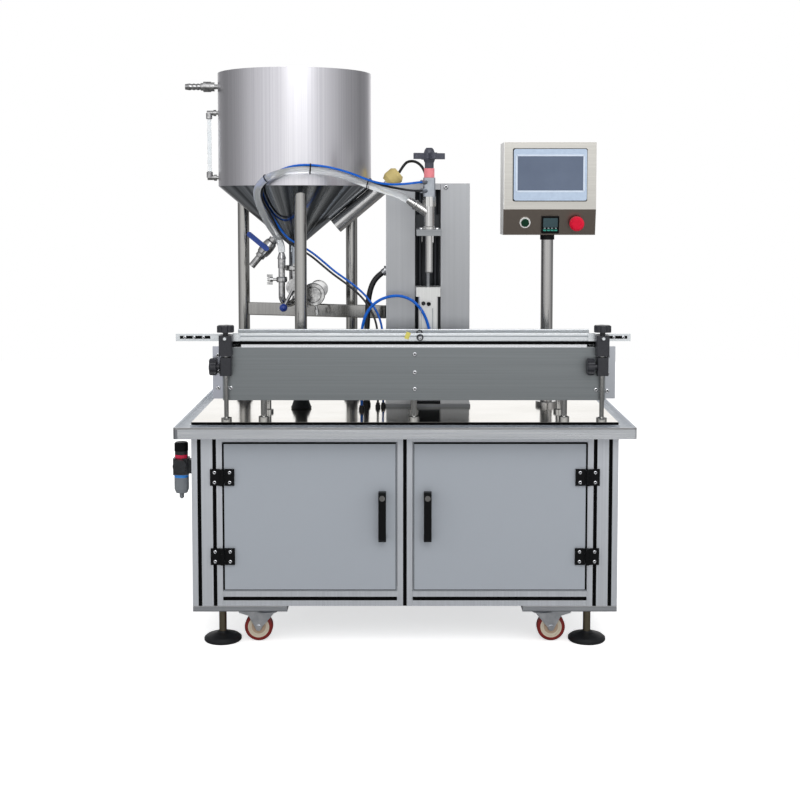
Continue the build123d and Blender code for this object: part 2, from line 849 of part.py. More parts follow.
# Product valve: three ports round a rotor that turns about Y. The hopper feeds the top port,
# the metering cylinder sits on the right one, and the lower one leads to the filling hose.
valve_z = 930.0
valve_r = 25.0
valve_bore_r = 18.0
valve_front_y = 22.0
valve_l = 80.0
valve_back_t = 6.0
feed_r = 11.0
meter_x = -262.0
meter_z = 910.0
meter_r = 28.0
meter_body_r = 26.0
meter_cap_r = 23.0
meter_bore_r = 24.0
meter_front_y = 4.0
meter_l = 266.0
meter_wall = 8.0
meter_flange_at = 8.0
meter_rod_r = 6.0
riser_x = hopper_x - 38.0
riser_y = hopper_y - 26.0
riser_r = 9.5
riser_top_z = 1031.0
riser_barb_l = 46.0
riser_barb_r = 7.5
riser_barb_bore = 5.0
side_port_r = 13.0
u_bend_drop = 24.0
riser_clamp_z = 952.0
riser_bead = 0.8
valve_top_z = neck_bottom_z - seat_gap
u_bend_r = sqrt((hopper_x - riser_x) ** 2 + (hopper_y - riser_y) ** 2) / 2 - 0.1
u_bend_z = valve_z - valve_r - u_bend_drop
barb_root_z = riser_top_z - riser_barb_l
with BuildPart() as product_valve:
    body_front = (hopper_x, valve_front_y, valve_z)
    body_back = (hopper_x, valve_front_y + valve_l, valve_z)
    body = round_bar(body_front, body_back, valve_r)
    top_port = turned(
        (hopper_x, hopper_y, 0),
        (0, 0, 1),
        [
            (neck_r, valve_z),
            (neck_r, valve_top_z - neck_flange_h),
            (neck_flange_r, valve_top_z - neck_flange_h),
            (neck_flange_r, valve_top_z),
        ],
    )
    add([body, top_port])
    u_points = [
        (hopper_x, hopper_y, valve_z - valve_r + 8),
        (hopper_x, hopper_y, u_bend_z),
        (riser_x, riser_y, u_bend_z),
        (riser_x, riser_y, barb_root_z),
    ]
    with BuildLine():
        FilletPolyline(*u_points, radius=u_bend_r)
    with BuildSketch(Plane(origin=u_points[0], z_dir=(0, 0, -1))):
        Circle(riser_r)
    sweep()
    riser = turned(
        (riser_x, riser_y, barb_root_z),
        (0, 0, 1),
        [
            (riser_r, 0),
            (11, 0),
            (11, 26),
            (13, 28),
            (riser_barb_r, riser_barb_l),
            (riser_barb_bore, riser_barb_l),
            (riser_barb_bore, 30),
            (0, 30),
        ],
    )
    side_port = round_bar((hopper_x, hopper_y, valve_z), (meter_x, hopper_y, meter_z), side_port_r)
    bead = turned(
        (riser_x, riser_y, riser_clamp_z),
        (0, 0, 1),
        [(riser_r + riser_bead, -neck_flange_h), (riser_r + riser_bead, neck_flange_h)],
    )
    add([riser, side_port, bead])
    meter_front = (meter_x, meter_front_y, meter_z)
    meter_back = (meter_x, meter_front_y + meter_l, meter_z)
    add(round_bar(meter_front, meter_back, meter_body_r + weld_gap), mode=Mode.SUBTRACT)
    rotor_space = round_bar(
        (hopper_x, valve_front_y - 1, valve_z),
        (hopper_x, valve_front_y + valve_l - valve_back_t, valve_z),
        valve_bore_r,
    )
    feed = round_bar((hopper_x, hopper_y, valve_z), (hopper_x, hopper_y, valve_top_z), feed_r)
    add([rotor_space, feed], mode=Mode.SUBTRACT)
keep(product_valve.part, "product_valve")

# Rotor of the valve with its handle and ball
ball_r = 11.5
handle_r = 5.0
handle_end = Vector(-348.0, valve_front_y - 16, 872.0)
plug_front_y = valve_front_y + 4
plug_l = valve_l - 2 * valve_back_t
plug_way_r = 12.0
rotor_stem_r = 8.0
stem_front_y = plug_front_y - 28
with BuildPart() as valve_rotor:
    with BuildSketch(Plane(origin=(hopper_x, plug_front_y, valve_z), x_dir=(1, 0, 0), z_dir=(0, 1, 0))):
        Circle(valve_bore_r - slide_play)
    extrude(amount=plug_l)
    with BuildSketch(at(hopper_x, hopper_y, valve_z - valve_r)):
        Circle(plug_way_r)
    extrude(amount=2 * valve_r, mode=Mode.SUBTRACT)
    with BuildSketch(Plane(origin=(hopper_x, stem_front_y, valve_z), x_dir=(1, 0, 0), z_dir=(0, 1, 0))):
        Circle(rotor_stem_r)
    extrude(amount=plug_front_y - stem_front_y)
    add(round_bar((hopper_x, handle_end.Y, valve_z), handle_end, handle_r))
    with Locations(Location(handle_end, (90, 0, 0))):
        Sphere(ball_r)
keep(valve_rotor.part, "valve_rotor")

# Metering cylinder, open at its back for the drive rod of the piston
with BuildPart() as metering_cylinder:
    meter_profile = [
        (meter_cap_r - 2, 0),
        (meter_cap_r, 2),
        (meter_cap_r, meter_flange_at - neck_flange_h),
        (meter_r, meter_flange_at - neck_flange_h),
        (meter_r, meter_flange_at + neck_flange_h),
        (meter_body_r, meter_flange_at + neck_flange_h),
        (meter_body_r, meter_l - 12),
        (meter_r, meter_l - 12),
        (meter_r, meter_l),
        (meter_rod_r + slide_play, meter_l),
        (meter_rod_r + slide_play, meter_l - meter_wall),
        (meter_bore_r, meter_l - meter_wall),
        (meter_bore_r, meter_wall),
        (0, meter_wall),
    ]
    add(turned((meter_x, meter_front_y, meter_z), (0, 1, 0), meter_profile))
keep(metering_cylinder.part, "metering_cylinder")

piston_len = 22.0
piston_end_r = 9.0
piston_rod_end = meter_l + 18.0
piston_end_l = 12.0
piston_start_y = meter_front_y + meter_wall + 6.0
with BuildPart() as metering_piston:
    add(
        turned(
            (meter_x, piston_start_y, meter_z),
            (0, 1, 0),
            [
                (meter_bore_r - slide_play, 0),
                (meter_bore_r - slide_play, piston_len),
                (meter_rod_r, piston_len),
                (meter_rod_r, piston_rod_end),
                (piston_end_r, piston_rod_end),
                (piston_end_r, piston_rod_end + piston_end_l),
            ],
        )
    )
keep(metering_piston.part, "metering_piston")

# Hygienic clamps: a ring round each pair of flanges, with a bolt and a wing nut
clamp_h = 16.0
clamp_wall = 5.5
clamp_bolt_r = 4.0
clamp_bolt_l = 26.0
clamp_nut_at = 10.0
clamp_nut_r = 7.0
clamp_nut_h = 8.0
flange_play = 0.4
wing_l = 30.0
wing_h = 16.0
wing_t = 6.0
meter_bolt_way = (0.2, 0, -0.98)


def pipe_clamp(center, way, bolt_way, flange_r, pipe_r):
    """A grooved ring over two flanges, with a bolt that stands out and a wing nut on its end."""
    ring_r = flange_r + clamp_wall
    groove = neck_flange_h + flange_play
    bolt = Vector(bolt_way)
    bolt_start = Vector(center) + bolt * (ring_r - 1)
    bolt_end = Vector(center) + bolt * (ring_r + clamp_bolt_l)
    with BuildPart() as ring:
        add(
            turned(
                center,
                way,
                [
                    (ring_r - 2, -clamp_h / 2),
                    (ring_r, -clamp_h / 2 + 3),
                    (ring_r, clamp_h / 2 - 3),
                    (ring_r - 2, clamp_h / 2),
                ],
            )
        )
        hollow = [
            (pipe_r + seat_gap, -clamp_h / 2 - 1),
            (pipe_r + seat_gap, -groove),
            (flange_r + seat_gap, -groove),
            (flange_r + seat_gap, groove),
            (pipe_r + seat_gap, groove),
            (pipe_r + seat_gap, clamp_h / 2 + 1),
        ]
        add(turned(center, way, hollow), mode=Mode.SUBTRACT)
        add(round_bar(bolt_start, bolt_end, clamp_bolt_r))
        nut_start = Vector(center) + bolt * (ring_r + clamp_nut_at)
        nut_middle = nut_start + bolt * clamp_nut_h / 2
        add(round_bar(nut_start, nut_start + bolt * clamp_nut_h, clamp_nut_r))
        with BuildSketch(Plane(origin=nut_middle, x_dir=bolt, z_dir=Vector(way).cross(bolt))):
            with Locations((5, 0)):
                Rectangle(wing_h, wing_l)
                for side in (-1, 1):
                    with Locations((wing_h / 2, side * 2)):
                        Circle(5, mode=Mode.SUBTRACT)
        extrude(amount=wing_t / 2, both=True)
    return ring.part


with BuildPart() as pipe_clamps:
    add(
        [
            pipe_clamp((hopper_x, hopper_y, neck_bottom_z), (0, 0, 1), (0, -1, 0), neck_flange_r, neck_r),
            pipe_clamp(
                (meter_x, meter_front_y + meter_flange_at, meter_z),
                (0, 1, 0),
                meter_bolt_way,
                meter_r,
                meter_body_r,
            ),
            pipe_clamp(
                (riser_x, riser_y, riser_clamp_z),
                (0, 0, 1),
                (-1, 0, 0),
                riser_r + riser_bead,
                riser_r,
            ),
        ]
    )
keep(pipe_clamps.part, "pipe_clamps")

# Cross bar: a flat tube from the rear left leg to the column, on a saddle at each end
bar_h = 38.0
bar_t = 15.0
cross_z = 860.0
cross_end_y = 12.0
cross_wall = 1.5
cross_start = Vector(leg_spots[2][0], leg_spots[2][1], cross_z)
cross_end = Vector(column_x - column_slot_w / 2 - cover_w, cross_end_y, cross_z)
cross_way = (cross_end - cross_start).normalized()
cross_side = Vector(-cross_way.Y, cross_way.X, 0)
cross_from = cross_start + cross_way * (leg_r + seat_gap)
cross_skew = abs(cross_way.Y / cross_way.X) * bar_t / 2
cross_l = (cross_end - cross_start).length - leg_r - 2 * seat_gap - cross_skew
with BuildPart() as cross_bar:
    with BuildSketch(Plane(origin=cross_from, x_dir=cross_side, z_dir=cross_way)):
        RectangleRounded(bar_t, bar_h, 3)
        RectangleRounded(bar_t - 2 * cross_wall, bar_h - 2 * cross_wall, 1.5, mode=Mode.SUBTRACT)
    extrude(amount=cross_l)
with BuildPart() as hopper_stand:
    add([hopper_legs.part, *caps, cross_bar.part])
keep(hopper_stand.part, "hopper_stand")

# Column: two folded covers either side of a slot, a dark back, a base and two guide rods
cover_t = 2.0
column_low_z = board_top_z
column_base_t = 8.0
column_base_lip = 3.0
vent_z = 1080.0
vent_span = 36.0
vent_l = 40.0
vent_w = 6.0
column_back_y = column_front_y + column_d
slot_back_y = column_front_y + 62.0
slot_back_t = 3.0
slot_bar_h = 17.0
cover_z = column_low_z + column_base_t
column_top_z = column_low_z + column_h
covers = []
for sx in (-1, 1):
    near = column_x + sx * column_slot_w / 2
    far = near + sx * cover_w
    low, high = min(near, far), max(near, far)
    cover = block((low, column_front_y, cover_z), (high, column_back_y, column_top_z))
    inside = block(
        (low + cover_t, column_front_y + cover_t, cover_z),
        (high - cover_t, column_back_y - cover_t, column_top_z - cover_t),
    )
    with BuildPart() as folded:
        add(cover)
        add(inside, mode=Mode.SUBTRACT)
    covers.append(folded.part)
slot_low_x = column_x - column_slot_w / 2 + seat_gap
slot_high_x = column_x + column_slot_w / 2 - seat_gap
with BuildPart() as slot_back:
    add(block((slot_low_x, slot_back_y, cover_z), (slot_high_x, slot_back_y + slot_back_t, column_top_z)))
    with BuildSketch(Plane(origin=(column_x, slot_back_y, vent_z), x_dir=(1, 0, 0), z_dir=(0, -1, 0))):
        with GridLocations(vent_span, 0, 2, 1):
            SlotOverall(vent_l, vent_w, rotation=90)
    extrude(amount=-slot_back_t, mode=Mode.SUBTRACT)
column_half_w = column_slot_w / 2 + cover_w
base_half_w = column_half_w + column_base_lip
base_plate = block(
    (column_x - base_half_w, column_front_y - column_base_lip, column_low_z),
    (column_x + base_half_w, column_back_y + column_base_lip, cover_z - seat_gap),
)
rod_low_z = 940.0
rod_high_z = column_top_z - slot_bar_h
rod_foot_z = rod_low_z - 14.0
bar_back_y = slot_back_y - seat_gap
top_bar = block((slot_low_x, column_front_y + 4, rod_high_z), (slot_high_x, bar_back_y, column_top_z))
foot_bar = block((slot_low_x, guide_rod_y - 12, rod_foot_z), (slot_high_x, bar_back_y, rod_low_z))
with BuildPart() as guides:
    add([top_bar, foot_bar])
    for sx in (-1, 1):
        x = column_x + sx * guide_rod_x
        add(round_bar((x, guide_rod_y, rod_low_z - 1), (x, guide_rod_y, rod_high_z + 1), guide_rod_r))
# Glands on the column: the conduit enters its left side, the heater lead its top
conduit_end = (-62.5, -50.0, 976.0)
conduit_gland_root = (-54.0, -50.0, 982.0)
conduit_gland_r = 9.5
gland_collar_z = 981.6
gland_collar_r = 14.0
gland_collar_t = 6.0
lead_end = (60.0, -42.0, 1239.0)
lead_gland_r = 8.0
collar_x = column_x - column_half_w - seat_gap
collar_y = conduit_end[1]
with BuildPart() as conduit_gland:
    add(
        round_bar(
            (collar_x - gland_collar_t, collar_y, gland_collar_z),
            (collar_x, collar_y, gland_collar_z),
            gland_collar_r,
        )
    )
    add(round_bar(conduit_end, conduit_gland_root, conduit_gland_r))
lead_gland = round_bar((lead_end[0], lead_end[1], column_top_z + seat_gap), lead_end, lead_gland_r)
with BuildPart() as column:
    add([*covers, slot_back.part, base_plate, guides.part, conduit_gland.part, lead_gland])
keep(column.part, "column")

# Lift cylinder: a square barrel with its head block, on a plate across the column's slot
barrel_r = piston_r + slide_play
cylinder_low_z = cylinder_top_z - cylinder_h
cylinder_floor = 8.0
mount_h = 70.0
mount_w = 110.0
elbow_x = 72.0
elbow_half_w = 6.0
elbow_reach = 18.0
elbow_low_z = 740.0
elbow_high_z = 758.0
elbow_socket_r = 6.5
elbow_socket_at = 11.0
elbow_front_y = cylinder_y - cylinder_w / 2
lift_tube_end = (elbow_x, elbow_front_y - elbow_socket_at, 766.0)
with BuildPart() as lift_cylinder:
    with BuildSketch(at(column_x, cylinder_y, cylinder_low_z)):
        RectangleRounded(cylinder_w, cylinder_w, 5)
    extrude(amount=cylinder_h - cylinder_head_h)
    with BuildSketch(at(column_x, cylinder_y, cylinder_top_z - cylinder_head_h)):
        RectangleRounded(cylinder_head_w, cylinder_w, 3)
    extrude(amount=cylinder_head_h)
    mount_high_y = column_front_y - seat_gap
    low = (column_x - mount_w / 2, cylinder_y + cylinder_w / 2 - 1, cylinder_low_z)
    high = (column_x + mount_w / 2, mount_high_y, cylinder_low_z + mount_h)
    add(block(low, high))
    with BuildSketch(at(column_x, cylinder_y, cylinder_low_z + cylinder_floor)):
        Circle(barrel_r)
    extrude(amount=cylinder_h - cylinder_head_h - cylinder_floor, mode=Mode.SUBTRACT)
    with BuildSketch(at(column_x, cylinder_y, cylinder_low_z + cylinder_floor)):
        Circle(piston_rod_r + slide_play)
    extrude(amount=cylinder_h, mode=Mode.SUBTRACT)
    elbow_low = (elbow_x - elbow_half_w, elbow_front_y - elbow_reach, elbow_low_z)
    elbow_high = (elbow_x + elbow_half_w, elbow_front_y + 1, elbow_high_z)
    add(block(elbow_low, elbow_high, 2))
    socket_root = (elbow_x, elbow_front_y - elbow_socket_at, elbow_high_z - 1)
    add(round_bar(socket_root, lift_tube_end, elbow_socket_r))
keep(lift_cylinder.part, "lift_cylinder")

# Carriage: a cross bar that carries the nozzle, runs on the guide rods and holds the piston rod
carriage_front_y = nozzle_y - 18.0
carriage_block_h = 55.0
carriage_block_half_d = 14.0
carriage_back_y = guide_rod_y + carriage_block_half_d
carriage_low = (column_x - carriage_w / 2, carriage_front_y, carriage_z)
carriage_high = (column_x + carriage_w / 2, carriage_back_y, carriage_z + carriage_h)
piston_z = cylinder_top_z - cylinder_head_h - piston_t - 2
with BuildPart() as nozzle_carriage:
    add(
        [
            block(carriage_low, carriage_high),
            block(
                (column_x - carriage_w / 2, guide_rod_y - carriage_block_half_d, carriage_z),
                (column_x + carriage_w / 2, carriage_back_y, carriage_z + carriage_block_h),
            ),
        ]
    )
    with BuildSketch(at(column_x, guide_rod_y, carriage_z)):
        with Locations((-guide_rod_x, 0), (guide_rod_x, 0)):
            Circle(guide_rod_r + slide_play)
    extrude(amount=carriage_block_h, mode=Mode.SUBTRACT)
    with BuildSketch(at(column_x, nozzle_y, carriage_z)):
        Circle(nozzle_tube_r + slide_play)
    extrude(amount=carriage_h, mode=Mode.SUBTRACT)
    add(round_bar((column_x, cylinder_y, piston_z), (column_x, cylinder_y, carriage_z), piston_rod_r))
    add(round_bar((column_x, cylinder_y, piston_z), (column_x, cylinder_y, piston_z + piston_t), piston_r))
keep(nozzle_carriage.part, "nozzle_carriage")

# Nozzle: the filling tube, its flange on the carriage and the oblique branch of the hose
nozzle_seat_z = carriage_z + carriage_h + seat_gap
nozzle_body_h = 61.0
nozzle_hex_h = 26.0
nozzle_body_r = 13.5
nozzle_flange_r = 13.5
branch_root = Vector(column_x, nozzle_y, nozzle_seat_z + 41)
branch_tip = Vector(7.0, nozzle_y, 1181.0)
branch_way = (branch_tip - branch_root).normalized()
branch_len = (branch_tip - branch_root).length
nozzle_hex_z = nozzle_seat_z + nozzle_body_h
nozzle_top_z = nozzle_hex_z + nozzle_hex_h
nozzle_hex_r = 15.5
nozzle_roof = 8.0
branch_bore_r = 6.0
with BuildPart() as nozzle_body:
    add(
        turned(
            (column_x, nozzle_y, 0),
            (0, 0, 1),
            [
                (nozzle_tube_r - 1, nozzle_tip_z),
                (nozzle_tube_r, nozzle_tip_z + 3),
                (nozzle_tube_r, nozzle_seat_z),
                (nozzle_flange_r + 2, nozzle_seat_z),
                (nozzle_flange_r + 2, nozzle_seat_z + 6),
                (nozzle_body_r, nozzle_seat_z + 8),
                (nozzle_body_r, nozzle_hex_z),
            ],
        )
    )
    with BuildSketch(at(column_x, nozzle_y, nozzle_hex_z)):
        RegularPolygon(nozzle_hex_r, 6, major_radius=False)
    extrude(amount=nozzle_hex_h)
    add(
        turned(
            branch_root,
            branch_way,
            [
                (12, 0),
                (12, 40),
                (14, 42),
                (14, 46),
                (11, 48),
                (11, 60),
                (9.5, 60),
                (8.5, branch_len - seat_gap),
            ],
        )
    )
    with BuildSketch(at(column_x, nozzle_y, nozzle_tip_z)):
        Circle(nozzle_bore_r)
    extrude(amount=nozzle_hex_z - nozzle_tip_z - nozzle_roof, mode=Mode.SUBTRACT)
    add(round_bar(branch_root, branch_tip, branch_bore_r), mode=Mode.SUBTRACT)
keep(nozzle_body.part, "nozzle_body")

# Actuator of the nozzle's shut-off, with two push-in fittings and the collar of its knob
actuator_h = 50.0
actuator_w = 32.0
actuator_z = nozzle_top_z + seat_gap
red_collar_h = 25.0
red_collar_r = 14.0
fitting_r = 6.0
fitting_l = 22.0
fitting_bore_r = 3.0
fitting_turn = radians(35)
knob_well_floor = 20.0
fitting_zs = (actuator_z + 38.0, actuator_z + 15.0)
fitting_way = Vector(-sin(fitting_turn), -cos(fitting_turn), 0)
knob_stem_r = 7.0
with BuildPart() as nozzle_actuator:
    with BuildSketch(at(column_x, nozzle_y, actuator_z)):
        RectangleRounded(actuator_w, actuator_w, 5)
    extrude(amount=actuator_h)
    with BuildSketch(at(column_x, nozzle_y, actuator_z + actuator_h)):
        Circle(red_collar_r)
    extrude(amount=red_collar_h)
    with BuildSketch(at(column_x, nozzle_y, actuator_z + knob_well_floor)):
        Circle(knob_stem_r + slide_play)
    extrude(amount=actuator_h + red_collar_h, mode=Mode.SUBTRACT)
    for z in fitting_zs:
        root = Vector(column_x, nozzle_y, z) + fitting_way * (actuator_w / 2 - 1)
        add(round_bar(root, root + fitting_way * fitting_l, fitting_r, fitting_bore_r))
keep(nozzle_actuator.part, "nozzle_actuator")

# Wing knob that sets the nozzle's opening
knob_low_z = actuator_z + actuator_h + red_collar_h + 0.5
knob_span = 44.5
knob_h = 54.0
wing_low = 24.0
wing_thick = 16.0
with BuildPart() as nozzle_knob:
    add(
        turned(
            (column_x, nozzle_y, knob_low_z),
            (0, 0, 1),
            [(12, 0), (12, 14), (17, 26), (15, 40), (12, knob_h - 5), (8, knob_h)],
        )
    )
    with BuildSketch(at(column_x, nozzle_y, knob_low_z + wing_low)):
        with PolarLocations(0, 4, start_angle=20):
            with Locations((knob_span / 2, 0)):
                SlotOverall(knob_span, wing_thick)
    extrude(amount=wing_thick)
    fillet(nozzle_knob.faces().sort_by(Axis.Z)[-1].edges(), 2)
    with BuildSketch(at(column_x, nozzle_y, knob_low_z + 1)):
        Circle(knob_stem_r)
    extrude(amount=-(red_collar_h + 12))
keep(nozzle_knob.part, "nozzle_knob")

# Conveyor: side plates with folded edges, nose plates at the ends, spacers and wear strips
side_low_z = side_top_z - side_h
front_y = conveyor_y - conveyor_w / 2
back_y = conveyor_y + conveyor_w / 2
wear_h = 16.0
wear_w = 12.0
nose_t = 8.0
spacer_spots = (-0.36, -0.12, 0.12, 0.36)
lap_l = 40.0
spacer_r = 7.0
end_x = side_l / 2 + seat_gap
end_low_z = side_top_z + 2 - end_h
pitch_r = slat_pitch * sprocket_teeth / 2 / pi
shaft_x = straight_slats * slat_pitch / 2
shaft_z = belt_top_z - slat_t / 2 - pitch_r
bearing_r = 20.0
bearing_t = 8.0
frame_pieces = []
for side in (-1, 1):
    outer_y = conveyor_y + side * conveyor_w / 2
    with BuildPart() as plate:
        for depth, height in ((side_t, side_h), (side_flange, side_t)):
            low_y, high_y = sorted((outer_y, outer_y - side * depth))
            low = (conveyor_x - side_l / 2, low_y, side_low_z)
            add(block(low, (conveyor_x + side_l / 2, high_y, side_low_z + height)))
        shaft_holes = Plane(origin=(conveyor_x, conveyor_y, shaft_z), x_dir=(1, 0, 0), z_dir=(0, side, 0))
        with BuildSketch(shaft_holes):
            with Locations((-shaft_x, 0), (shaft_x, 0)):
                Circle(shaft_r + 3)
        extrude(amount=conveyor_w, mode=Mode.SUBTRACT)
    frame_pieces.append(plate.part)
    for end in (-1, 1):
        low_x, high_x = sorted((conveyor_x + end * end_x, conveyor_x + end * (end_x + end_l)))
        low_y, high_y = sorted((outer_y, outer_y - side * nose_t))
        nose = block((low_x, low_y, end_low_z), (high_x, high_y, end_low_z + end_h))
        lap_y = outer_y - side * (side_t + seat_gap)
        low_x, high_x = sorted((conveyor_x + end * (end_x - lap_l), conveyor_x + end * (end_x + end_l)))
        low_y, high_y = sorted((lap_y, outer_y - side * nose_t))
        lap = block((low_x, low_y, side_low_z + side_t + 1), (high_x, high_y, shaft_z - bearing_r - 4))
        with BuildPart() as end_plate:
            add([nose, lap])
        frame_pieces.append(end_plate.part)
        x = conveyor_x + end * shaft_x
        housing_end = (x, lap_y - side * bearing_t, shaft_z)
        housing = round_bar((x, lap_y, shaft_z), housing_end, bearing_r, shaft_r + slide_play)
        frame_pieces.append(housing)
inner = conveyor_w / 2 - side_t - seat_gap
for spot in spacer_spots:
    x = conveyor_x + spot * side_l
    spacer = round_bar((x, conveyor_y - inner, shaft_z), (x, conveyor_y + inner, shaft_z), spacer_r)
    frame_pieces.append(spacer)
strip_top_z = belt_top_z - slat_t - seat_gap
strip_half = shaft_x - 20.0
for side in (-1, 1):
    strip_y = conveyor_y + side * inner
    low_y, high_y = sorted((strip_y, strip_y - side * wear_w))
    low = (conveyor_x - strip_half, low_y, strip_top_z - wear_h)
    frame_pieces.append(block(low, (conveyor_x + strip_half, high_y, strip_top_z)))
with BuildPart() as conveyor_frame:
    add(frame_pieces)
keep(conveyor_frame.part, "conveyor_frame")

# Slat chain: every link is a flat plate on hinge barrels, wrapped round the two sprockets
barrel_r_chain = 4.5
barrel_mid_w = 26.0
barrel_side_w = 14.0
link_l = slat_pitch - slat_joint
with BuildPart() as slat:
    with BuildSketch(Plane(origin=(0, 0, 0), x_dir=(1, 0, 0), z_dir=(0, -1, 0))):
        with BuildLine():
            Polyline(
                (-link_l / 2, -slat_t / 2),
                (link_l / 2, -slat_t / 2),
                (link_l / 2, slat_t / 2 - 1),
                (link_l / 2 - 1, slat_t / 2),
                (-link_l / 2 + 1, slat_t / 2),
                (-link_l / 2, slat_t / 2 - 1),
                close=True,
            )
        make_face()
    extrude(amount=belt_w / 2, both=True)
    for x, width, spots in (
        (-link_l / 2 + barrel_r_chain, barrel_mid_w, (0,)),
        (link_l / 2 - barrel_r_chain, barrel_side_w, (-1, 1)),
    ):
        for spot in spots:
            y = spot * (barrel_mid_w / 2 + barrel_side_w / 2 + 1)
            barrel_z = -slat_t / 2 - barrel_r_chain + 1
            with BuildSketch(Plane(origin=(x, y, barrel_z), x_dir=(1, 0, 0), z_dir=(0, -1, 0))):
                RegularPolygon(barrel_r_chain, 6, major_radius=False)
            extrude(amount=width / 2, both=True)
links = []
for row, sign in ((1, 1), (-1, -1)):
    for index in range(straight_slats):
        x = conveyor_x + sign * (index - (straight_slats - 1) / 2) * slat_pitch
        turn = 0 if row == 1 else 180
        links.append(Location((x, conveyor_y, shaft_z + row * pitch_r), (0, turn, 0)) * slat.part)
half_turn = sprocket_teeth // 2
for end in (-1, 1):
    for index in range(half_turn):
        turn = (index + 0.5) * 180 / half_turn
        angle = radians(90 - end * turn)
        x = conveyor_x + end * shaft_x + pitch_r * cos(angle)
        z = shaft_z + pitch_r * sin(angle)
        links.append(Location((x, conveyor_y, z), (0, end * turn, 0)) * slat.part)
slat_belt = Compound(children=links)
keep(slat_belt, "slat_belt")

# Shafts with their sprockets; the drive shaft runs on to the gearbox behind the conveyor
sprocket_root_r = pitch_r - slat_t / 2 - 2 * barrel_r_chain - 7.0
sprocket_tip_r = pitch_r - slat_t / 2 - 2 * barrel_r_chain - 0.5
sprocket_w = 14.0
sprocket_spots = (-22.0, 22.0)
tooth_w = 8.0
gear_y = back_y + 12.0
gearbox_w = 70.0
gearbox_d = 60.0
gear_flange_r = 28.0
motor_r = 30.0
shafts = (("drive_shaft", 1, gear_y + gearbox_d - 4), ("idler_shaft", -1, back_y + 4))
for name, sign, reach in shafts:
    x = conveyor_x + sign * shaft_x
    with BuildPart() as shaft:
        add(round_bar((x, front_y + side_t, shaft_z), (x, reach, shaft_z), shaft_r))
        for spot in sprocket_spots:
            near_y = conveyor_y + spot - sprocket_w / 2
            with BuildSketch(Plane(origin=(x, near_y, shaft_z), x_dir=(1, 0, 0), z_dir=(0, 1, 0))):
                Circle(sprocket_root_r)
                with PolarLocations(sprocket_root_r, sprocket_teeth, start_angle=180 / sprocket_teeth):
                    Rectangle(2 * (sprocket_tip_r - sprocket_root_r), tooth_w)
            extrude(amount=sprocket_w)
    keep(shaft.part, name)

with BuildPart() as drive_motor:
    x = conveyor_x + shaft_x
    box = block(
        (x - gearbox_w / 2, gear_y, shaft_z - gearbox_w / 2),
        (x + gearbox_w / 2, gear_y + gearbox_d, shaft_z + gearbox_w / 2),
    )
    flange = round_bar((x, back_y + seat_gap, shaft_z), (x, gear_y + 1, shaft_z), gear_flange_r)
    motor = turned(
        (x, gear_y + gearbox_d / 2, shaft_z),
        (-1, 0, 0),
        [(motor_r, gearbox_w / 2 - 1), (motor_r, 150), (motor_r + 2, 152), (motor_r + 2, 178), (26, 184)],
    )
    shaft_hole = round_bar((x, back_y, shaft_z), (x, gear_y + gearbox_d - 3, shaft_z), shaft_r + slide_play)
    add([box, flange, motor])
    add(shaft_hole, mode=Mode.SUBTRACT)
keep(drive_motor.part, "drive_motor")

# Six posts under the conveyor, the two upright rods of the rail brackets, and the cords' glands
post_collar_r = 14.0
post_collar_h = 8.0
post_ys = (front_y + post_r, back_y - post_r)
rod_top_z = 806.0
board_gland_h = 13.0
board_glands = (
    (-119, -150, lift_tube_d),
    (-108, -62, conduit_d),
    (-60, -100, strand_d),
    (-75, -100, strand_d),
)
uprights = []
for x in (conveyor_x - post_span, conveyor_x, conveyor_x + post_span):
    for y in post_ys:
        uprights.append((x, y, post_r, side_low_z - seat_gap))
for side in (-1, 1):
    uprights.append((conveyor_x + side * bracket_span, bracket_rod_y, bracket_rod_r, rod_top_z))
posts = []
for x, y, radius, top_z in uprights:
    post = [
        (post_collar_r, 0),
        (post_collar_r, post_collar_h),
        (radius, post_collar_h + 2),
        (radius, top_z - board_top_z),
    ]
    posts.append(turned((x, y, board_top_z), (0, 0, 1), post))
for x, y, cord_d in board_glands:
    nut_r, sleeve_r = cord_d / 2 + 4, cord_d / 2 + 2.5
    gland = [(nut_r, 0), (nut_r, 7), (sleeve_r, 8), (sleeve_r, board_gland_h)]
    posts.append(turned((x, y, board_top_z), (0, 0, 1), gland))
with BuildPart() as posts_and_glands:
    add(posts)
keep(posts_and_glands.part, "posts_and_glands")

# Front guide rail: the rail, a lead-in bar at each end and the two rods that slide in the brackets
rail_low_z = belt_top_z + rail_lift
rail_mid_z = rail_low_z + rail_h / 2
lead_t = 6.0
lead_h = 19.0
lead_lap = 20.0
lead_ends = ((-1, -604.0), (1, 595.0))
rail_rod_out = 352.0
rail_groove_w = 8.0
rail_groove_d = 1.0
sensor_x = 40.0
sensor_r = 6.0
sensor_nut_r = 9.0
rail_half = rail_l / 2
lead_y = front_rail_y - rail_w / 2 - lead_t / 2 - seat_gap


def guide_rail(y):
    """The rail itself: a bar with a shallow groove along both faces."""
    with BuildPart() as rail:
        start = (conveyor_x - rail_half, y, rail_mid_z)
        with BuildSketch(Plane(origin=start, x_dir=(0, 1, 0), z_dir=(1, 0, 0))):
            RectangleRounded(rail_w, rail_h, 2)
            with Locations((-rail_w / 2, 0), (rail_w / 2, 0)):
                Rectangle(2 * rail_groove_d, rail_groove_w, mode=Mode.SUBTRACT)
        extrude(amount=rail_l)
    return rail.part


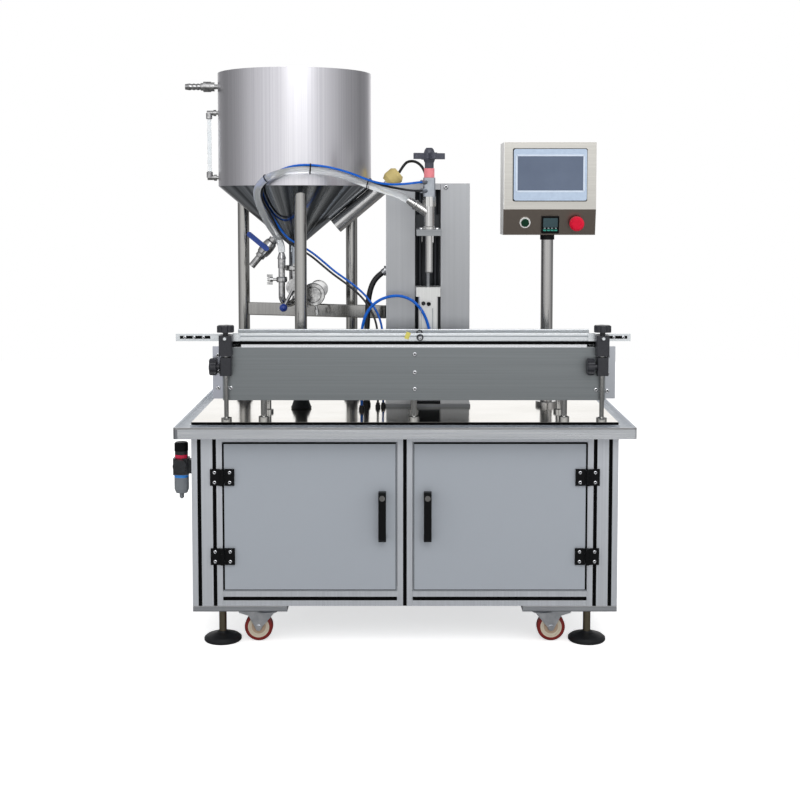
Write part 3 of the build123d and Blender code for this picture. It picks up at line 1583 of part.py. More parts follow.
front_pieces = [guide_rail(front_rail_y)]
for side, lead_end_x in lead_ends:
    low_x, high_x = sorted((conveyor_x + side * (rail_half - lead_lap), lead_end_x))
    lead = block(
        (low_x, lead_y - lead_t / 2, rail_mid_z - lead_h / 2),
        (high_x, lead_y + lead_t / 2, rail_mid_z + lead_h / 2),
    )
    x = conveyor_x + side * bracket_span
    rod = round_bar((x, -rail_rod_out, rail_mid_z), (x, lead_y - lead_t / 2 + 1, rail_mid_z), rail_rod_r)
    with BuildPart() as arm:
        add([lead, rod])
    front_pieces.append(arm.part)
front_face_y = front_rail_y - rail_w / 2 - seat_gap
sensor = [(sensor_nut_r, 0), (sensor_nut_r, 5), (sensor_r, 5), (sensor_r, 22), (3, 26)]
front_pieces.append(turned((sensor_x, front_face_y, rail_mid_z), (0, -1, 0), sensor))
with BuildPart() as front_guide_rail:
    add(front_pieces)
keep(front_guide_rail.part, "front_guide_rail")

# Rear guide rail, fixed to the rear side plate by three angle brackets
angle_t = 4.0
angle_w = 30.0
angle_drop = 60.0
angle_spots = (-0.38, 0, 0.38)
with BuildPart() as rear_guide_rail:
    pieces = [guide_rail(rear_rail_y)]
    for spot in angle_spots:
        x = conveyor_x + spot * rail_l
        low_x, high_x = x - angle_w / 2, x + angle_w / 2
        wall_y = back_y + seat_gap
        arm_y = rear_rail_y + rail_w / 2 - 0.5
        wall_leg = block(
            (low_x, wall_y, side_top_z - angle_drop), (high_x, wall_y + angle_t, rail_mid_z + 8)
        )
        rail_leg = block((low_x, arm_y, rail_mid_z), (high_x, wall_y + 1, rail_mid_z + angle_t))
        pieces.extend([wall_leg, rail_leg])
    add(pieces)
keep(rear_guide_rail.part, "rear_guide_rail")

# Rail brackets: a split block for the rail's rod, a lower cross clamp, and their star knobs
block_low_z = 772.0
block_high_z = 826.0
block_w = 34.0
block_back_y = -317.0
block_front_y = -344.0
clamp_low_z = 720.0
clamp_high_z = 768.0
star_r = 22.5
star_h = 26.0
star_gap = 8.0
star_stem_r = 7.0
star_notch_r = 6.5


def star_knob(seat, way, lobes=6):
    """A black star knob: a scalloped head on a short stem."""
    with BuildPart() as knob:
        with BuildSketch(Plane(origin=seat, z_dir=way)):
            Circle(star_stem_r)
        extrude(amount=star_gap + 1)
        with BuildSketch(Plane(origin=Vector(seat) + Vector(way) * star_gap, z_dir=way)):
            Circle(star_r)
            with PolarLocations(star_r + 3, lobes):
                Circle(star_notch_r, mode=Mode.SUBTRACT)
        extrude(amount=star_h - star_gap)
        chamfer(knob.faces().sort_by(Axis((0, 0, 0), way))[-1].edges(), 2)
    return knob.part


bracket_pieces = []
block_y = (block_front_y + block_back_y) / 2
for side in (-1, 1):
    x = conveyor_x + side * bracket_span
    with BuildPart() as bracket:
        with BuildSketch(at(x, block_y, block_low_z)):
            RectangleRounded(block_w, block_back_y - block_front_y, 4)
        extrude(amount=block_high_z - block_low_z)
        with BuildSketch(at(x, block_y, clamp_low_z)):
            RectangleRounded(block_w - 4, block_back_y - block_front_y, 4)
        extrude(amount=clamp_high_z - clamp_low_z)
        with BuildSketch(Plane(origin=(x, block_front_y - 1, rail_mid_z), z_dir=(0, 1, 0))):
            Circle(rail_rod_r + slide_play)
        extrude(amount=block_back_y - block_front_y + 2, mode=Mode.SUBTRACT)
        with BuildSketch(at(x, bracket_rod_y, clamp_low_z)):
            Circle(bracket_rod_r + slide_play)
        extrude(amount=rod_top_z + seat_gap - clamp_low_z, mode=Mode.SUBTRACT)
    bracket_pieces.append(bracket.part)
    bracket_pieces.append(star_knob((x, block_y, block_high_z + seat_gap), (0, 0, 1)))
    side_x = x - (block_w - 4) / 2 - seat_gap
    mid_z = (clamp_low_z + clamp_high_z) / 2
    bracket_pieces.append(star_knob((side_x, front_y - star_r - 1.5, mid_z), (-1, 0, 0)))
with BuildPart() as rail_brackets:
    add(bracket_pieces)
keep(rail_brackets.part, "rail_brackets")

# Operator panel: a pole with a foot flange, and a box that turns on its collar
pole_top_z = panel_bottom_z + 40.0
collar_z = panel_bottom_z - collar_h - seat_gap
chin_h = 71.0
chin_back = 14.0
case_wall = 3.0
panel_front_y = panel_y - panel_depth / 2
panel_left_x = panel_x - panel_size / 2
with BuildPart() as hmi_pole:
    flange = turned(
        (panel_x, panel_y, board_top_z),
        (0, 0, 1),
        [
            (pole_flange_r, 0),
            (pole_flange_r, pole_flange_h - 2),
            (pole_flange_r - 2, pole_flange_h),
            (pole_r, pole_flange_h),
            (pole_r, pole_top_z - board_top_z),
        ],
    )
    add(flange)
keep(hmi_pole.part, "hmi_pole")

stop_x = 475.5
start_x = 334.0
button_z = 1119.0
stop_r = 20.0
stop_stem_r = 11.0
start_r = 11.0
start_ring_r = 15.0
start_ring_h = 5.0
screen_w = 202.0
screen_h = 142.0
screen_z = 1250.0
screen_t = 9.0
display_w = 181.0
display_h = 94.0
display_up = 4.0
display_sunk = 1.0
control_x = 404.0
control_w = 49.0
control_z = 1113.5
control_t = 7.0
chin_z = panel_bottom_z + chin_h
chin_turn = atan2(chin_back, chin_h)
chin_way = Vector(0, -cos(chin_turn), -sin(chin_turn))


def on_chin(x, z, out=0.0):
    """A point on the sloping lower band of the panel's front, or out from it."""
    y = panel_front_y + (chin_z - z) * tan(chin_turn)
    return Vector(x, y, z) + chin_way * out


panel_outline = [
    (panel_front_y, chin_z),
    (panel_front_y, panel_bottom_z + panel_size),
    (panel_front_y + panel_depth, panel_bottom_z + panel_size),
    (panel_front_y + panel_depth, panel_bottom_z),
    (panel_front_y + chin_back, panel_bottom_z),
]
with BuildPart() as hmi_box:
    with BuildSketch(Plane(origin=(panel_left_x, 0, 0), x_dir=(0, 1, 0), z_dir=(1, 0, 0))):
        with BuildLine():
            Polyline(*panel_outline, close=True)
        make_face()
    extrude(amount=panel_size)
    with BuildSketch(Plane(origin=(panel_left_x + case_wall, 0, 0), x_dir=(0, 1, 0), z_dir=(1, 0, 0))):
        with BuildLine():
            Polyline(*panel_outline, close=True)
        make_face()
        offset(amount=-case_wall)
    extrude(amount=panel_size - 2 * case_wall, mode=Mode.SUBTRACT)
    with BuildSketch(at(panel_x, panel_y, panel_bottom_z)):
        Circle(pole_r + slide_play)
    extrude(amount=case_wall, mode=Mode.SUBTRACT)
    for x, radius in ((stop_x, stop_stem_r), (start_x, start_r)):
        with BuildSketch(Plane(origin=on_chin(x, button_z, 1), x_dir=(1, 0, 0), z_dir=chin_way * -1)):
            Circle(radius + slide_play)
        extrude(amount=case_wall + 2, mode=Mode.SUBTRACT)
keep(hmi_box.part, "hmi_box")

with BuildPart() as hmi_instruments:
    screen_seat = (panel_x, panel_front_y - seat_gap, screen_z)
    screen_plane = Plane(origin=screen_seat, x_dir=(1, 0, 0), z_dir=(0, -1, 0))
    with BuildSketch(screen_plane):
        RectangleRounded(screen_w, screen_h, 6)
    extrude(amount=screen_t)
    with BuildSketch(screen_plane.offset(screen_t - display_sunk)):
        with Locations((0, display_up)):
            Rectangle(display_w, display_h)
    extrude(amount=display_sunk, mode=Mode.SUBTRACT)
    control_seat = on_chin(control_x, control_z, seat_gap)
    with BuildSketch(Plane(origin=control_seat, x_dir=(1, 0, 0), z_dir=chin_way)):
        RectangleRounded(control_w, control_w, 3)
    extrude(amount=control_t)
    ring_seat = on_chin(start_x, button_z, seat_gap)
    with BuildSketch(Plane(origin=ring_seat, x_dir=(1, 0, 0), z_dir=chin_way)):
        Circle(start_ring_r)
        Circle(start_r + slide_play, mode=Mode.SUBTRACT)
    extrude(amount=start_ring_h)
    with BuildSketch(at(panel_x, panel_y, collar_z)):
        Circle(pole_r + 3)
        Circle(pole_r + slide_play, mode=Mode.SUBTRACT)
    extrude(amount=collar_h)
keep(hmi_instruments.part, "hmi_instruments")

stop_profile = [(stop_stem_r, -14), (stop_stem_r, 12), (stop_r, 12), (stop_r, 24), (stop_r - 6, 30)]
start_profile = [(start_r, -12), (start_r, 8), (start_r - 2, 10)]
for name, x, profile in (
    ("stop_button", stop_x, stop_profile),
    ("start_button", start_x, start_profile),
):
    with BuildPart() as button:
        add(turned(on_chin(x, button_z), chin_way, [(0, profile[0][1])] + profile))
    keep(button.part, name)

# Air filter and regulator on the cabinet's left side
air_x = -590.0
air_y = -330.0
air_mid_z = 480.0
air_half_w = 20.0
air_half_h = 22.0
air_bonnet_r = 17.0
air_bonnet_h = 18.0
air_dial_r = 18.0
air_dial_l = 14.0
air_dial_up = 4.0
air_inlet_r = 9.0
air_inlet_bore = 5.0
air_inlet_l = 18.0
air_bracket_half_d = 14.0
air_bracket_half_h = 18.0
air_stem_r = 6.0
air_stem_l = 22.0
air_knob_r = 18.0
air_knob_gap = 0.5
bonnet_top_z = air_mid_z + air_half_h + air_bonnet_h
air_bowl = [(19, 0), (19, 40), (15, 50), (6, 52), (6, 62), (3, 66)]
with BuildPart() as air_regulator:
    head = block(
        (air_x - air_half_w, air_y - air_half_w, air_mid_z - air_half_h),
        (air_x + air_half_w, air_y + air_half_w, air_mid_z + air_half_h),
        5,
    )
    bonnet_root = (air_x, air_y, air_mid_z + air_half_h - 1)
    bonnet = round_bar(bonnet_root, (air_x, air_y, bonnet_top_z), air_bonnet_r)
    bowl = turned((air_x, air_y, air_mid_z - air_half_h + 1), (0, 0, -1), air_bowl)
    dial_z = air_mid_z + air_dial_up
    dial_y = air_y - air_half_w
    dial = round_bar((air_x, dial_y + 1, dial_z), (air_x, dial_y - air_dial_l, dial_z), air_dial_r)
    bracket = block(
        (air_x + air_half_w - 1, air_y - air_bracket_half_d, air_mid_z - air_bracket_half_h),
        (-half_w - seat_gap, air_y + air_bracket_half_d, air_mid_z + air_bracket_half_h),
    )
    inlet_y = air_y + air_half_w
    inlet_end = (air_x, inlet_y + air_inlet_l, air_mid_z)
    inlet = round_bar((air_x, inlet_y - 1, air_mid_z), inlet_end, air_inlet_r, air_inlet_bore)
    add([head, bonnet, bowl, dial, bracket, inlet])
    with BuildSketch(at(air_x, air_y, bonnet_top_z - air_stem_l - 8)):
        Circle(air_stem_r + slide_play)
    extrude(amount=air_stem_l + 18, mode=Mode.SUBTRACT)
keep(air_regulator.part, "air_regulator")

with BuildPart() as regulator_knob:
    knob = [(air_stem_r, -air_stem_l), (air_stem_r, 0), (air_knob_r, 0), (air_knob_r, 20), (15, 23)]
    add(turned((air_x, air_y, bonnet_top_z + air_knob_gap), (0, 0, 1), knob))
keep(regulator_knob.part, "regulator_knob")

# Cords: each route is a list of chosen points, joined by arcs as large as their runs allow
hose_route = [
    (-355, 36, 1031),
    (-355, 36, 1048),
    (-361, 24, 1067),
    (-372, 2, 1088),
    (-383, -23, 1108),
    (-391, -50, 1127),
    (-397, -79, 1146),
    (-403, -110, 1168),
    (-406.5, -142, 1190),
    (-403, -167, 1212),
    (-388, -185, 1230.5),
    (-365, -195, 1244),
    (-338, -199, 1253),
    (-306, -200, 1259.5),
    (-270, -196, 1262),
    (-226, -189, 1259),
    (-181, -184, 1249.5),
    (-139, -191, 1237),
    (-99, -204, 1222),
    (-63, -221, 1209),
    (-34, -237, 1200),
    (-9.7, -245, 1192),
    (7, -245, 1181),
]
blue_route = [
    (43.8, -275.3, 1227.4),
    (35.2, -287.6, 1226.5),
    (17, -296, 1224),
    (-10, -296, 1221.5),
    (-37, -285, 1221),
    (-62, -264, 1224),
    (-87, -243, 1230),
    (-111, -221, 1239),
    (-141, -203, 1251),
    (-178, -193, 1263),
    (-224, -193, 1273),
    (-271, -196, 1276),
    (-309, -193, 1271.5),
    (-340, -187, 1260),
    (-364, -181, 1247),
    (-383, -172, 1236),
    (-397, -155, 1219),
    (-401, -131, 1200),
    (-398.5, -104, 1180),
    (-390, -80, 1162),
    (-378, -59, 1144),
    (-365, -39, 1119),
    (-350, -31, 1095),
    (-331, -36, 1073),
    (-308, -46, 1060),
    (-283, -50, 1047),
    (-257, -48, 1030),
    (-228, -48, 1006),
    (-198, -52, 980),
    (-168, -60, 960),
    (-137, -70, 938),
    (-108, -80, 912),
    (-88, -90, 886),
    (-71, -98, 856),
    (-62, -102, 820),
    (-60, -103, 775),
    (-62, -102, 725),
    (-62, -100, 668),
    (-60, -100, 613),
]
black_route = [
    (43.8, -275.3, 1204.4),
    (35.2, -287.6, 1204),
    (16, -297, 1205),
    (-10, -296, 1209),
    (-36, -281, 1214),
    (-62, -256, 1220),
    (-85, -233, 1228),
    (-108, -210, 1238),
    (-140, -193, 1251),
    (-178, -184, 1263),
    (-225, -185, 1273),
    (-271, -187.5, 1273),
    (-308, -187, 1265),
    (-338, -184.5, 1253),
    (-360, -181, 1240.5),
    (-377, -172.5, 1229),
    (-389.5, -156, 1213),
    (-394.5, -134, 1195),
    (-391.5, -108, 1174),
    (-385, -86, 1157),
    (-376, -69, 1141),
    (-366, -49, 1117),
    (-354, -40, 1089),
    (-339, -41, 1067),
    (-314, -51, 1053),
    (-288, -56, 1039),
    (-260, -55, 1021),
    (-232, -55, 997),
    (-203, -58, 973),
    (-174, -65, 953),
    (-144, -74, 931),
    (-116, -84, 905),
    (-97, -94, 878),
    (-82, -101, 848),
    (-75, -104, 812),
    (-74, -104, 767),
    (-76, -103, 717),
    (-76, -101, 664),
    (-75, -100, 613),
]
lift_tube_route = [
    (-119, -150, 613),
    (-120, -150, 667),
    (-122, -150, 726),
    (-121, -150, 787),
    (-117, -150, 836),
    (-105, -150, 872),
    (-82, -150, 899),
    (-50, -152, 915),
    (-12, -155, 919.5),
    (24, -158, 905),
    (49, -159, 877),
    (64, -160, 842),
    (71, -160.5, 804),
    lift_tube_end,
]
conduit_route = [
    (-108, -62, 613),
    (-111, -58, 694),
    (-110, -54, 772),
    (-105, -50, 845),
    (-103, -50, 900),
    (-94, -50, 940),
    (-78, -50, 965),
    conduit_end,
]
cap_top = heater_start + slope_way * (heater_l + heater_neck_l + heater_cap_l + seat_gap)
lead_route = [
    tuple(cap_top),
    (0, 61, 1287),
    (16, 48, 1294),
    (34, 27, 1291),
    (48, 3, 1279),
    (56, -20, 1264),
    (60, -36, 1251),
    lead_end,
]


def cord(name, route, diameter):
    """A cord's solid: runs and arcs along its route; prints its bends and its volume's fit."""
    points = [Vector(point) for point in route]
    runs = [after - before for before, after in zip(points, points[1:])]
    radii = []
    for before, after in zip(runs, runs[1:]):
        turn = radians(before.get_angle(after))
        radii.append(0.45 * min(before.length, after.length) / tan(turn / 2))
    with BuildPart() as tube:
        with BuildLine() as path:
            FilletPolyline(*points, radius=radii)
        with BuildSketch(Plane(origin=points[0], z_dir=runs[0])):
            Circle(diameter / 2)
        sweep(path=path.wire())
    length = path.wire().length
    fit = tube.part.volume / (pi * diameter**2 / 4 * length)
    print(name, "length", round(length), "volume fit", round(fit, 3))
    print("  radii", [round(radius) for radius in radii])
    keep(tube.part, name)


cord("product_hose", hose_route, hose_d)
cord("blue_nozzle_tube", blue_route, strand_d)
cord("black_nozzle_tube", black_route, strand_d)
cord("lift_tube", lift_tube_route, lift_tube_d)
cord("valve_conduit", conduit_route, conduit_d)
cord("heater_lead", lead_route, lead_d)
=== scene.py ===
# %% [markdown]
# A jar filling machine: a steel hopper and a lifting nozzle over a slat conveyor, on a
# wheeled cabinet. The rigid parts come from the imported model. This file gives each of them
# its finish, adds the small trim that a workshop fits last, and lays the hose and the tubes.

from math import cos, pi, radians, sin

import bmesh
import bpy
import numpy as np
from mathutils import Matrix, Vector


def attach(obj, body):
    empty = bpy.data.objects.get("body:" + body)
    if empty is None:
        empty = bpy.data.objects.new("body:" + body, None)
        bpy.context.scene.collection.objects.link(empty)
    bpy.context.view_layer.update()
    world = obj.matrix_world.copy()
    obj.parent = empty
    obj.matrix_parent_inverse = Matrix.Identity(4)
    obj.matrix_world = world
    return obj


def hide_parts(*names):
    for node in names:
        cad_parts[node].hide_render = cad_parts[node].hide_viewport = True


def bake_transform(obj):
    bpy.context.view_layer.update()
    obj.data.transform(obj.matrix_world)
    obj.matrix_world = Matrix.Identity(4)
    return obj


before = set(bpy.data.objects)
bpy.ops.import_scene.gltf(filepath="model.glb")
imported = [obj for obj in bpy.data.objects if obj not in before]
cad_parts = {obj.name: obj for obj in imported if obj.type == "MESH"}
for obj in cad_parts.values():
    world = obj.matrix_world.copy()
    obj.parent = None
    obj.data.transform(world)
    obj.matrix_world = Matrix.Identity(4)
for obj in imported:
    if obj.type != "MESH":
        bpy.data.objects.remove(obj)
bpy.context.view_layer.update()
mm = 0.001

# %% [markdown]
# The camera stands a little above the middle of the machine, about 3.4 m in front of it.
# Its place, tilt and lens were fitted to edges that can be found both in the photograph
# and on the model. A small shift keeps the upright posts nearly upright in the picture.

# %% Camera
camera_place = Vector((-12.9, -3757.2, 1166.9)) * mm
camera_tilt = radians(4.0)
camera_data = bpy.data.cameras.new("photo_camera")
camera_data.lens = 59.05
camera_data.sensor_width = 36.0
camera_data.shift_y = -0.129
camera_data.clip_end = 60
camera = bpy.data.objects.new("photo_camera", camera_data)
camera.location = camera_place
camera.rotation_euler = (pi / 2 - camera_tilt, 0, 0)
scene = bpy.context.scene
scene.collection.objects.link(camera)
scene.camera = camera

# %% [markdown]
# Three soft lamps: a large one over the camera and a weaker one at each side. Only the large
# one is mirrored by the steel, because three bright bands would hide the brushing.

# %% Lamps
scene.view_settings.view_transform = "Standard"
lit_point = Vector((0, 0, 0.8))


def area_lamp(name, place, size, power, mirrored):
    """A square soft lamp at place, in metres, turned to the middle of the machine."""
    data = bpy.data.lights.new(name, "AREA")
    data.size = size
    data.energy = power
    lamp = bpy.data.objects.new(name, data)
    lamp.location = place
    lamp.rotation_euler = (lit_point - Vector(place)).to_track_quat("-Z", "Y").to_euler()
    lamp.visible_glossy = mirrored
    scene.collection.objects.link(lamp)
    print(name, size, "m wide,", power, "W")


area_lamp("key_lamp", (0.45, -3.7, 3.4), 2.9, 56, True)
area_lamp("left_lamp", (-3.4, -1.2, 1.8), 1.8, 16, False)
area_lamp("right_lamp", (3.4, -1.6, 1.8), 1.8, 14, False)

# %% [markdown]
# The world is white where the camera looks at it. What the metal mirrors is a soft grey room,
# darker at its sides, because steel shows only what is round it. High up behind the machine
# the room is bright, and flat sheets that face up show that.


# %% Node trees
def new_tree(owner):
    """An empty node tree on a material or the world."""
    owner.use_nodes = True
    owner.node_tree.nodes.clear()
    return owner.node_tree


def add_node(tree, kind, values=(), **settings):
    """Adds a node, sets its options, and fills or links its sockets from (socket, value) pairs."""
    node = tree.nodes.new(kind)
    for name, value in settings.items():
        setattr(node, name, value)
    for socket, value in values:
        if isinstance(value, bpy.types.NodeSocket):
            tree.links.new(value, node.inputs[socket])
        else:
            node.inputs[socket].default_value = value
    return node


# %% The mirrored room
room_tree = new_tree(scene.world or bpy.data.worlds.new("room"))
if scene.world is None:
    scene.world = bpy.data.worlds["room"]
direction = add_node(room_tree, "ShaderNodeTexCoord")
axes = add_node(room_tree, "ShaderNodeSeparateXYZ", [(0, direction.outputs["Generated"])])
front = add_node(room_tree, "ShaderNodeMapRange", [(0, axes.outputs["Y"]), (1, 1.0), (2, -1.0)])
room = add_node(room_tree, "ShaderNodeValToRGB", [(0, front.outputs[0])])
# From the back wall (0) past the sides (0.5) to the wall behind the camera (1).
levels = (
    (0.0, 0.42), (0.06, 0.36), (0.14, 0.27), (0.26, 0.2), (0.38, 0.3),
    (0.5, 0.33), (0.62, 0.46), (0.7, 0.6), (0.82, 0.74), (0.96, 0.92),
)
for place, level in levels:
    stop = room.color_ramp.elements.new(place) if place else room.color_ramp.elements[0]
    stop.color = (level, level, level * 1.02, 1)
room.color_ramp.elements[-1].color = (0.95, 0.95, 0.95, 1)
rise = [(0, axes.outputs["Z"]), (1, 0.0), (2, 0.06)]
above = add_node(room_tree, "ShaderNodeMapRange", rise, interpolation_type="SMOOTHSTEP")
behind = add_node(room_tree, "ShaderNodeMapRange", [(0, axes.outputs["Y"]), (1, 0.86), (2, 0.96)])
high_behind = [(0, above.outputs[0]), (1, behind.outputs[0])]
sky = add_node(room_tree, "ShaderNodeMath", high_behind, operation="MULTIPLY")
mixed = [(0, sky.outputs[0]), (6, room.outputs[0]), (7, (1, 1, 1, 1))]
walls = add_node(room_tree, "ShaderNodeMix", mixed, data_type="RGBA")
print("the room has", len(room.color_ramp.elements), "grey levels")

# %% The world's three faces
path = add_node(room_tree, "ShaderNodeLightPath")
seen_by = [(0, path.outputs["Is Camera Ray"]), (1, path.outputs["Is Transmission Ray"])]
seen = add_node(room_tree, "ShaderNodeMath", seen_by, operation="MAXIMUM")
mirrored = add_node(room_tree, "ShaderNodeBackground", [("Color", walls.outputs[2]), ("Strength", 1.08)])
fill = add_node(room_tree, "ShaderNodeBackground", [("Color", (1, 1, 1, 1)), ("Strength", 0.62)])
white = add_node(room_tree, "ShaderNodeBackground", [("Color", (1, 1, 1, 1)), ("Strength", 1.0)])
by_gloss = [(0, path.outputs["Is Glossy Ray"]), (1, fill.outputs[0]), (2, mirrored.outputs[0])]
lit = add_node(room_tree, "ShaderNodeMixShader", by_gloss)
by_camera = [(0, seen.outputs[0]), (1, lit.outputs[0]), (2, white.outputs[0])]
shown = add_node(room_tree, "ShaderNodeMixShader", by_camera)
add_node(room_tree, "ShaderNodeOutputWorld", [(0, shown.outputs[0])])
print("white to the camera, the room to metal, a soft fill to the rest")

# %% [markdown]
# A finish is one call of one function, so that a maker can see at a glance what a part is
# finished in. Colours are written as they look on screen and turned into linear light. Some
# solids are made of two things, such as a foot with its stem, so a finish may have zones; other
# zones paint light or shade into the colour.


# %% Colours and finishes
def linear(code):
    """A hex colour as it looks on screen, in linear light: ((c + 0.055) / 1.055) to the power 2.4."""
    parts = [int(code[i : i + 2], 16) / 255 for i in (0, 2, 4)]
    return tuple(c / 12.92 if c <= 0.04045 else ((c + 0.055) / 1.055) ** 2.4 for c in parts) + (1.0,)


finishes = []


def finish(name, pale, dark, roughness, metallic=0.0, grain=(90, 90, 90), bump=0.0, zones=(), **sockets):
    """A finish whose tone runs from dark to pale with a noise, and its roughness a little with it.

    grain is how often the noise repeats in a metre along X, Y and Z: low along a brushing, and
    even for a moulded or cast surface. The real scratches are about 0.05 mm apart, too fine to
    show, so the noise is as coarse as it needs to be. Each zone is (where, colour, roughness,
    metallic): the part of the piece that is made of something else, or where light or shade is
    painted into the colour.
    """
    made = bpy.data.materials.new(name)
    tree = new_tree(made)
    place = add_node(tree, "ShaderNodeTexCoord").outputs["Object"]
    drawn = add_node(tree, "ShaderNodeMapping", [("Vector", place), ("Scale", grain)])
    values = [("Vector", drawn.outputs[0]), ("Scale", 1.0), ("Detail", 5.0)]
    noise = add_node(tree, "ShaderNodeTexNoise", values)
    tone = add_node(tree, "ShaderNodeValToRGB", [(0, noise.outputs[0])])
    tone.color_ramp.elements[0].position = 0.3
    tone.color_ramp.elements[0].color = linear(dark)
    tone.color_ramp.elements[1].position = 0.7
    tone.color_ramp.elements[1].color = linear(pale)
    spread = [(0, noise.outputs[0]), ("To Min", roughness * 0.82), ("To Max", roughness * 1.18)]
    colour = tone.outputs[0]
    rough = add_node(tree, "ShaderNodeMapRange", spread).outputs[0]
    metal = metallic
    for where, zone_colour, zone_rough, zone_metal in zones:
        mask = where(tree, place)
        shade = zone_colour(tree, place) if callable(zone_colour) else linear(zone_colour)
        mixed = add_node(tree, "ShaderNodeMix", [(0, mask), (6, colour), (7, shade)], data_type="RGBA")
        colour = mixed.outputs[2]
        rough = add_node(tree, "ShaderNodeMix", [(0, mask), (2, rough), (3, zone_rough)]).outputs[0]
        metal = add_node(tree, "ShaderNodeMix", [(0, mask), (2, metal), (3, zone_metal)]).outputs[0]
    values = [("Base Color", colour), ("Roughness", rough), ("Metallic", metal)]
    values += [(socket.replace("_", " "), value) for socket, value in sockets.items()]
    if bump:
        relief = [("Height", noise.outputs[0]), ("Strength", 0.4), ("Distance", bump)]
        values.append(("Normal", add_node(tree, "ShaderNodeBump", relief).outputs[0]))
    shader = add_node(tree, "ShaderNodeBsdfPrincipled", values)
    add_node(tree, "ShaderNodeOutputMaterial", [(0, shader.outputs[0])])
    finishes.append(name)
    return made


print("a middle grey in linear light is", round(linear("808080")[0], 3))


# %% Zones of a finish
free = (None, None, None)


def inside(low, high):
    """A zone between two corners in millimetres: 1 where every coordinate lies between them."""

    def where(tree, place):
        split = add_node(tree, "ShaderNodeSeparateXYZ", [(0, place)])
        found = 1.0
        for axis, (bottom, top) in enumerate(zip(low, high)):
            for limit, test in ((bottom, "GREATER_THAN"), (top, "LESS_THAN")):
                if limit is not None:
                    sides = [(0, split.outputs[axis]), (1, limit * mm)]
                    one = add_node(tree, "ShaderNodeMath", sides, operation=test)
                    product = [(0, one.outputs[0]), (1, found)]
                    found = add_node(tree, "ShaderNodeMath", product, operation="MULTIPLY").outputs[0]
        return found

    return where


def over(height):
    """The zone over a height."""
    return inside((None, None, height), free)


def under(height):
    """The zone under a height."""
    return inside(free, (None, None, height))


def round_about(point, radius, fold_x=False, flat_y=False):
    """A zone within a radius of a point; fold_x takes both sides of the machine, flat_y ignores Y."""

    def where(tree, place):
        keep = (1, 0, 1) if flat_y else (1, 1, 1)
        if fold_x:
            place = add_node(tree, "ShaderNodeVectorMath", [(0, place)], operation="ABSOLUTE").outputs[0]
        away = [(0, place), (1, Vector(point) * mm)]
        away = add_node(tree, "ShaderNodeVectorMath", away, operation="SUBTRACT").outputs[0]
        away = add_node(tree, "ShaderNodeVectorMath", [(0, away), (1, keep)], operation="MULTIPLY")
        far = add_node(tree, "ShaderNodeVectorMath", [(0, away.outputs[0])], operation="LENGTH")
        near = [(0, far.outputs["Value"]), (1, radius * mm)]
        return add_node(tree, "ShaderNodeMath", near, operation="LESS_THAN").outputs[0]

    return where


def beyond(point, way, distance):
    """A zone past a distance along a direction: 1 where (p - point) . way is more than the distance."""

    def where(tree, place):
        away = [(0, place), (1, Vector(point) * mm)]
        away = add_node(tree, "ShaderNodeVectorMath", away, operation="SUBTRACT").outputs[0]
        both = [(0, away), (1, Vector(way))]
        along = add_node(tree, "ShaderNodeVectorMath", both, operation="DOT_PRODUCT")
        past = [(0, along.outputs["Value"]), (1, distance * mm)]
        return add_node(tree, "ShaderNodeMath", past, operation="GREATER_THAN").outputs[0]

    return where


def rays(point, pale, dark, number):
    """A colour in rays from an axis: noise along the angle round the point, so it runs down a cone."""

    def shade(tree, place):
        away = [(0, place), (1, Vector(point) * mm)]
        away = add_node(tree, "ShaderNodeVectorMath", away, operation="SUBTRACT").outputs[0]
        angle = add_node(tree, "ShaderNodeTexGradient", [(0, away)], gradient_type="RADIAL")
        grown = add_node(tree, "ShaderNodeMath", [(0, angle.outputs[1]), (1, number)], operation="MULTIPLY")
        values = [("W", grown.outputs[0]), ("Scale", 1.0), ("Detail", 3.0)]
        noise = add_node(tree, "ShaderNodeTexNoise", values, noise_dimensions="1D")
        tone = add_node(tree, "ShaderNodeValToRGB", [(0, noise.outputs[0])])
        for stop, place_on_ramp, code in zip(tone.color_ramp.elements, (0.36, 0.66), (dark, pale)):
            stop.position = place_on_ramp
            stop.color = linear(code)
        return tone.outputs[0]

    return shade


print("zones: inside, over, under, round_about, beyond; rays is a colour for one")

# %% [markdown]
# Stainless sheet is brushed along one direction: the scratches are too fine to see, but they
# draw every reflection out into streaks. Noise that repeats often across the brushing and
# seldom along it gives those streaks. Folded edges and noses would catch other light than the
# flat sheet, because they are bent or polished; here that light is a painted highlight, in zones.

# %% Steel sheet
# Rolled and brushed upright; the cone under 1220.8 mm is polished, and its rays of light and dark are
# painted reflection in its colour.
cone_painted_reflection = rays((-317, 62, 0), "c3c9d0", "565b61", 46)
hopper_steel = finish(
    "brushed_hopper_steel", "e3e2e6", "d2d1d6", 0.3, 1.0, (240, 240, 0.6),
    zones=[(under(1220.8), cone_painted_reflection, 0.13, 1.0)],
)
# Side plates brushed lengthwise, dull; the folded top edge and both noses are painted brighter, a painted
# highlight.
conveyor_steel = finish(
    "brushed_side_plate", "94999b", "8b9092", 0.42, 1.0, (2, 2, 420),
    zones=[
        (over(792.6), "f0f2f5", 0.22, 1.0),
        (inside(free, (-481.2, None, None)), "cbced8", 0.3, 1.0),
        (inside((529.2, None, None), free), "c8ccd2", 0.3, 1.0),
    ],
)
# Slats ground across the belt; their front ends are painted dark, painted shade under the guide rail.
slat_steel = finish(
    "slat_steel", "c9cbcd", "aaacaf", 0.24, 1.0, (2, 200, 2),
    zones=[(inside((None, None, 790), (None, -296, None)), "85858f", 0.4, 0.6)],
)
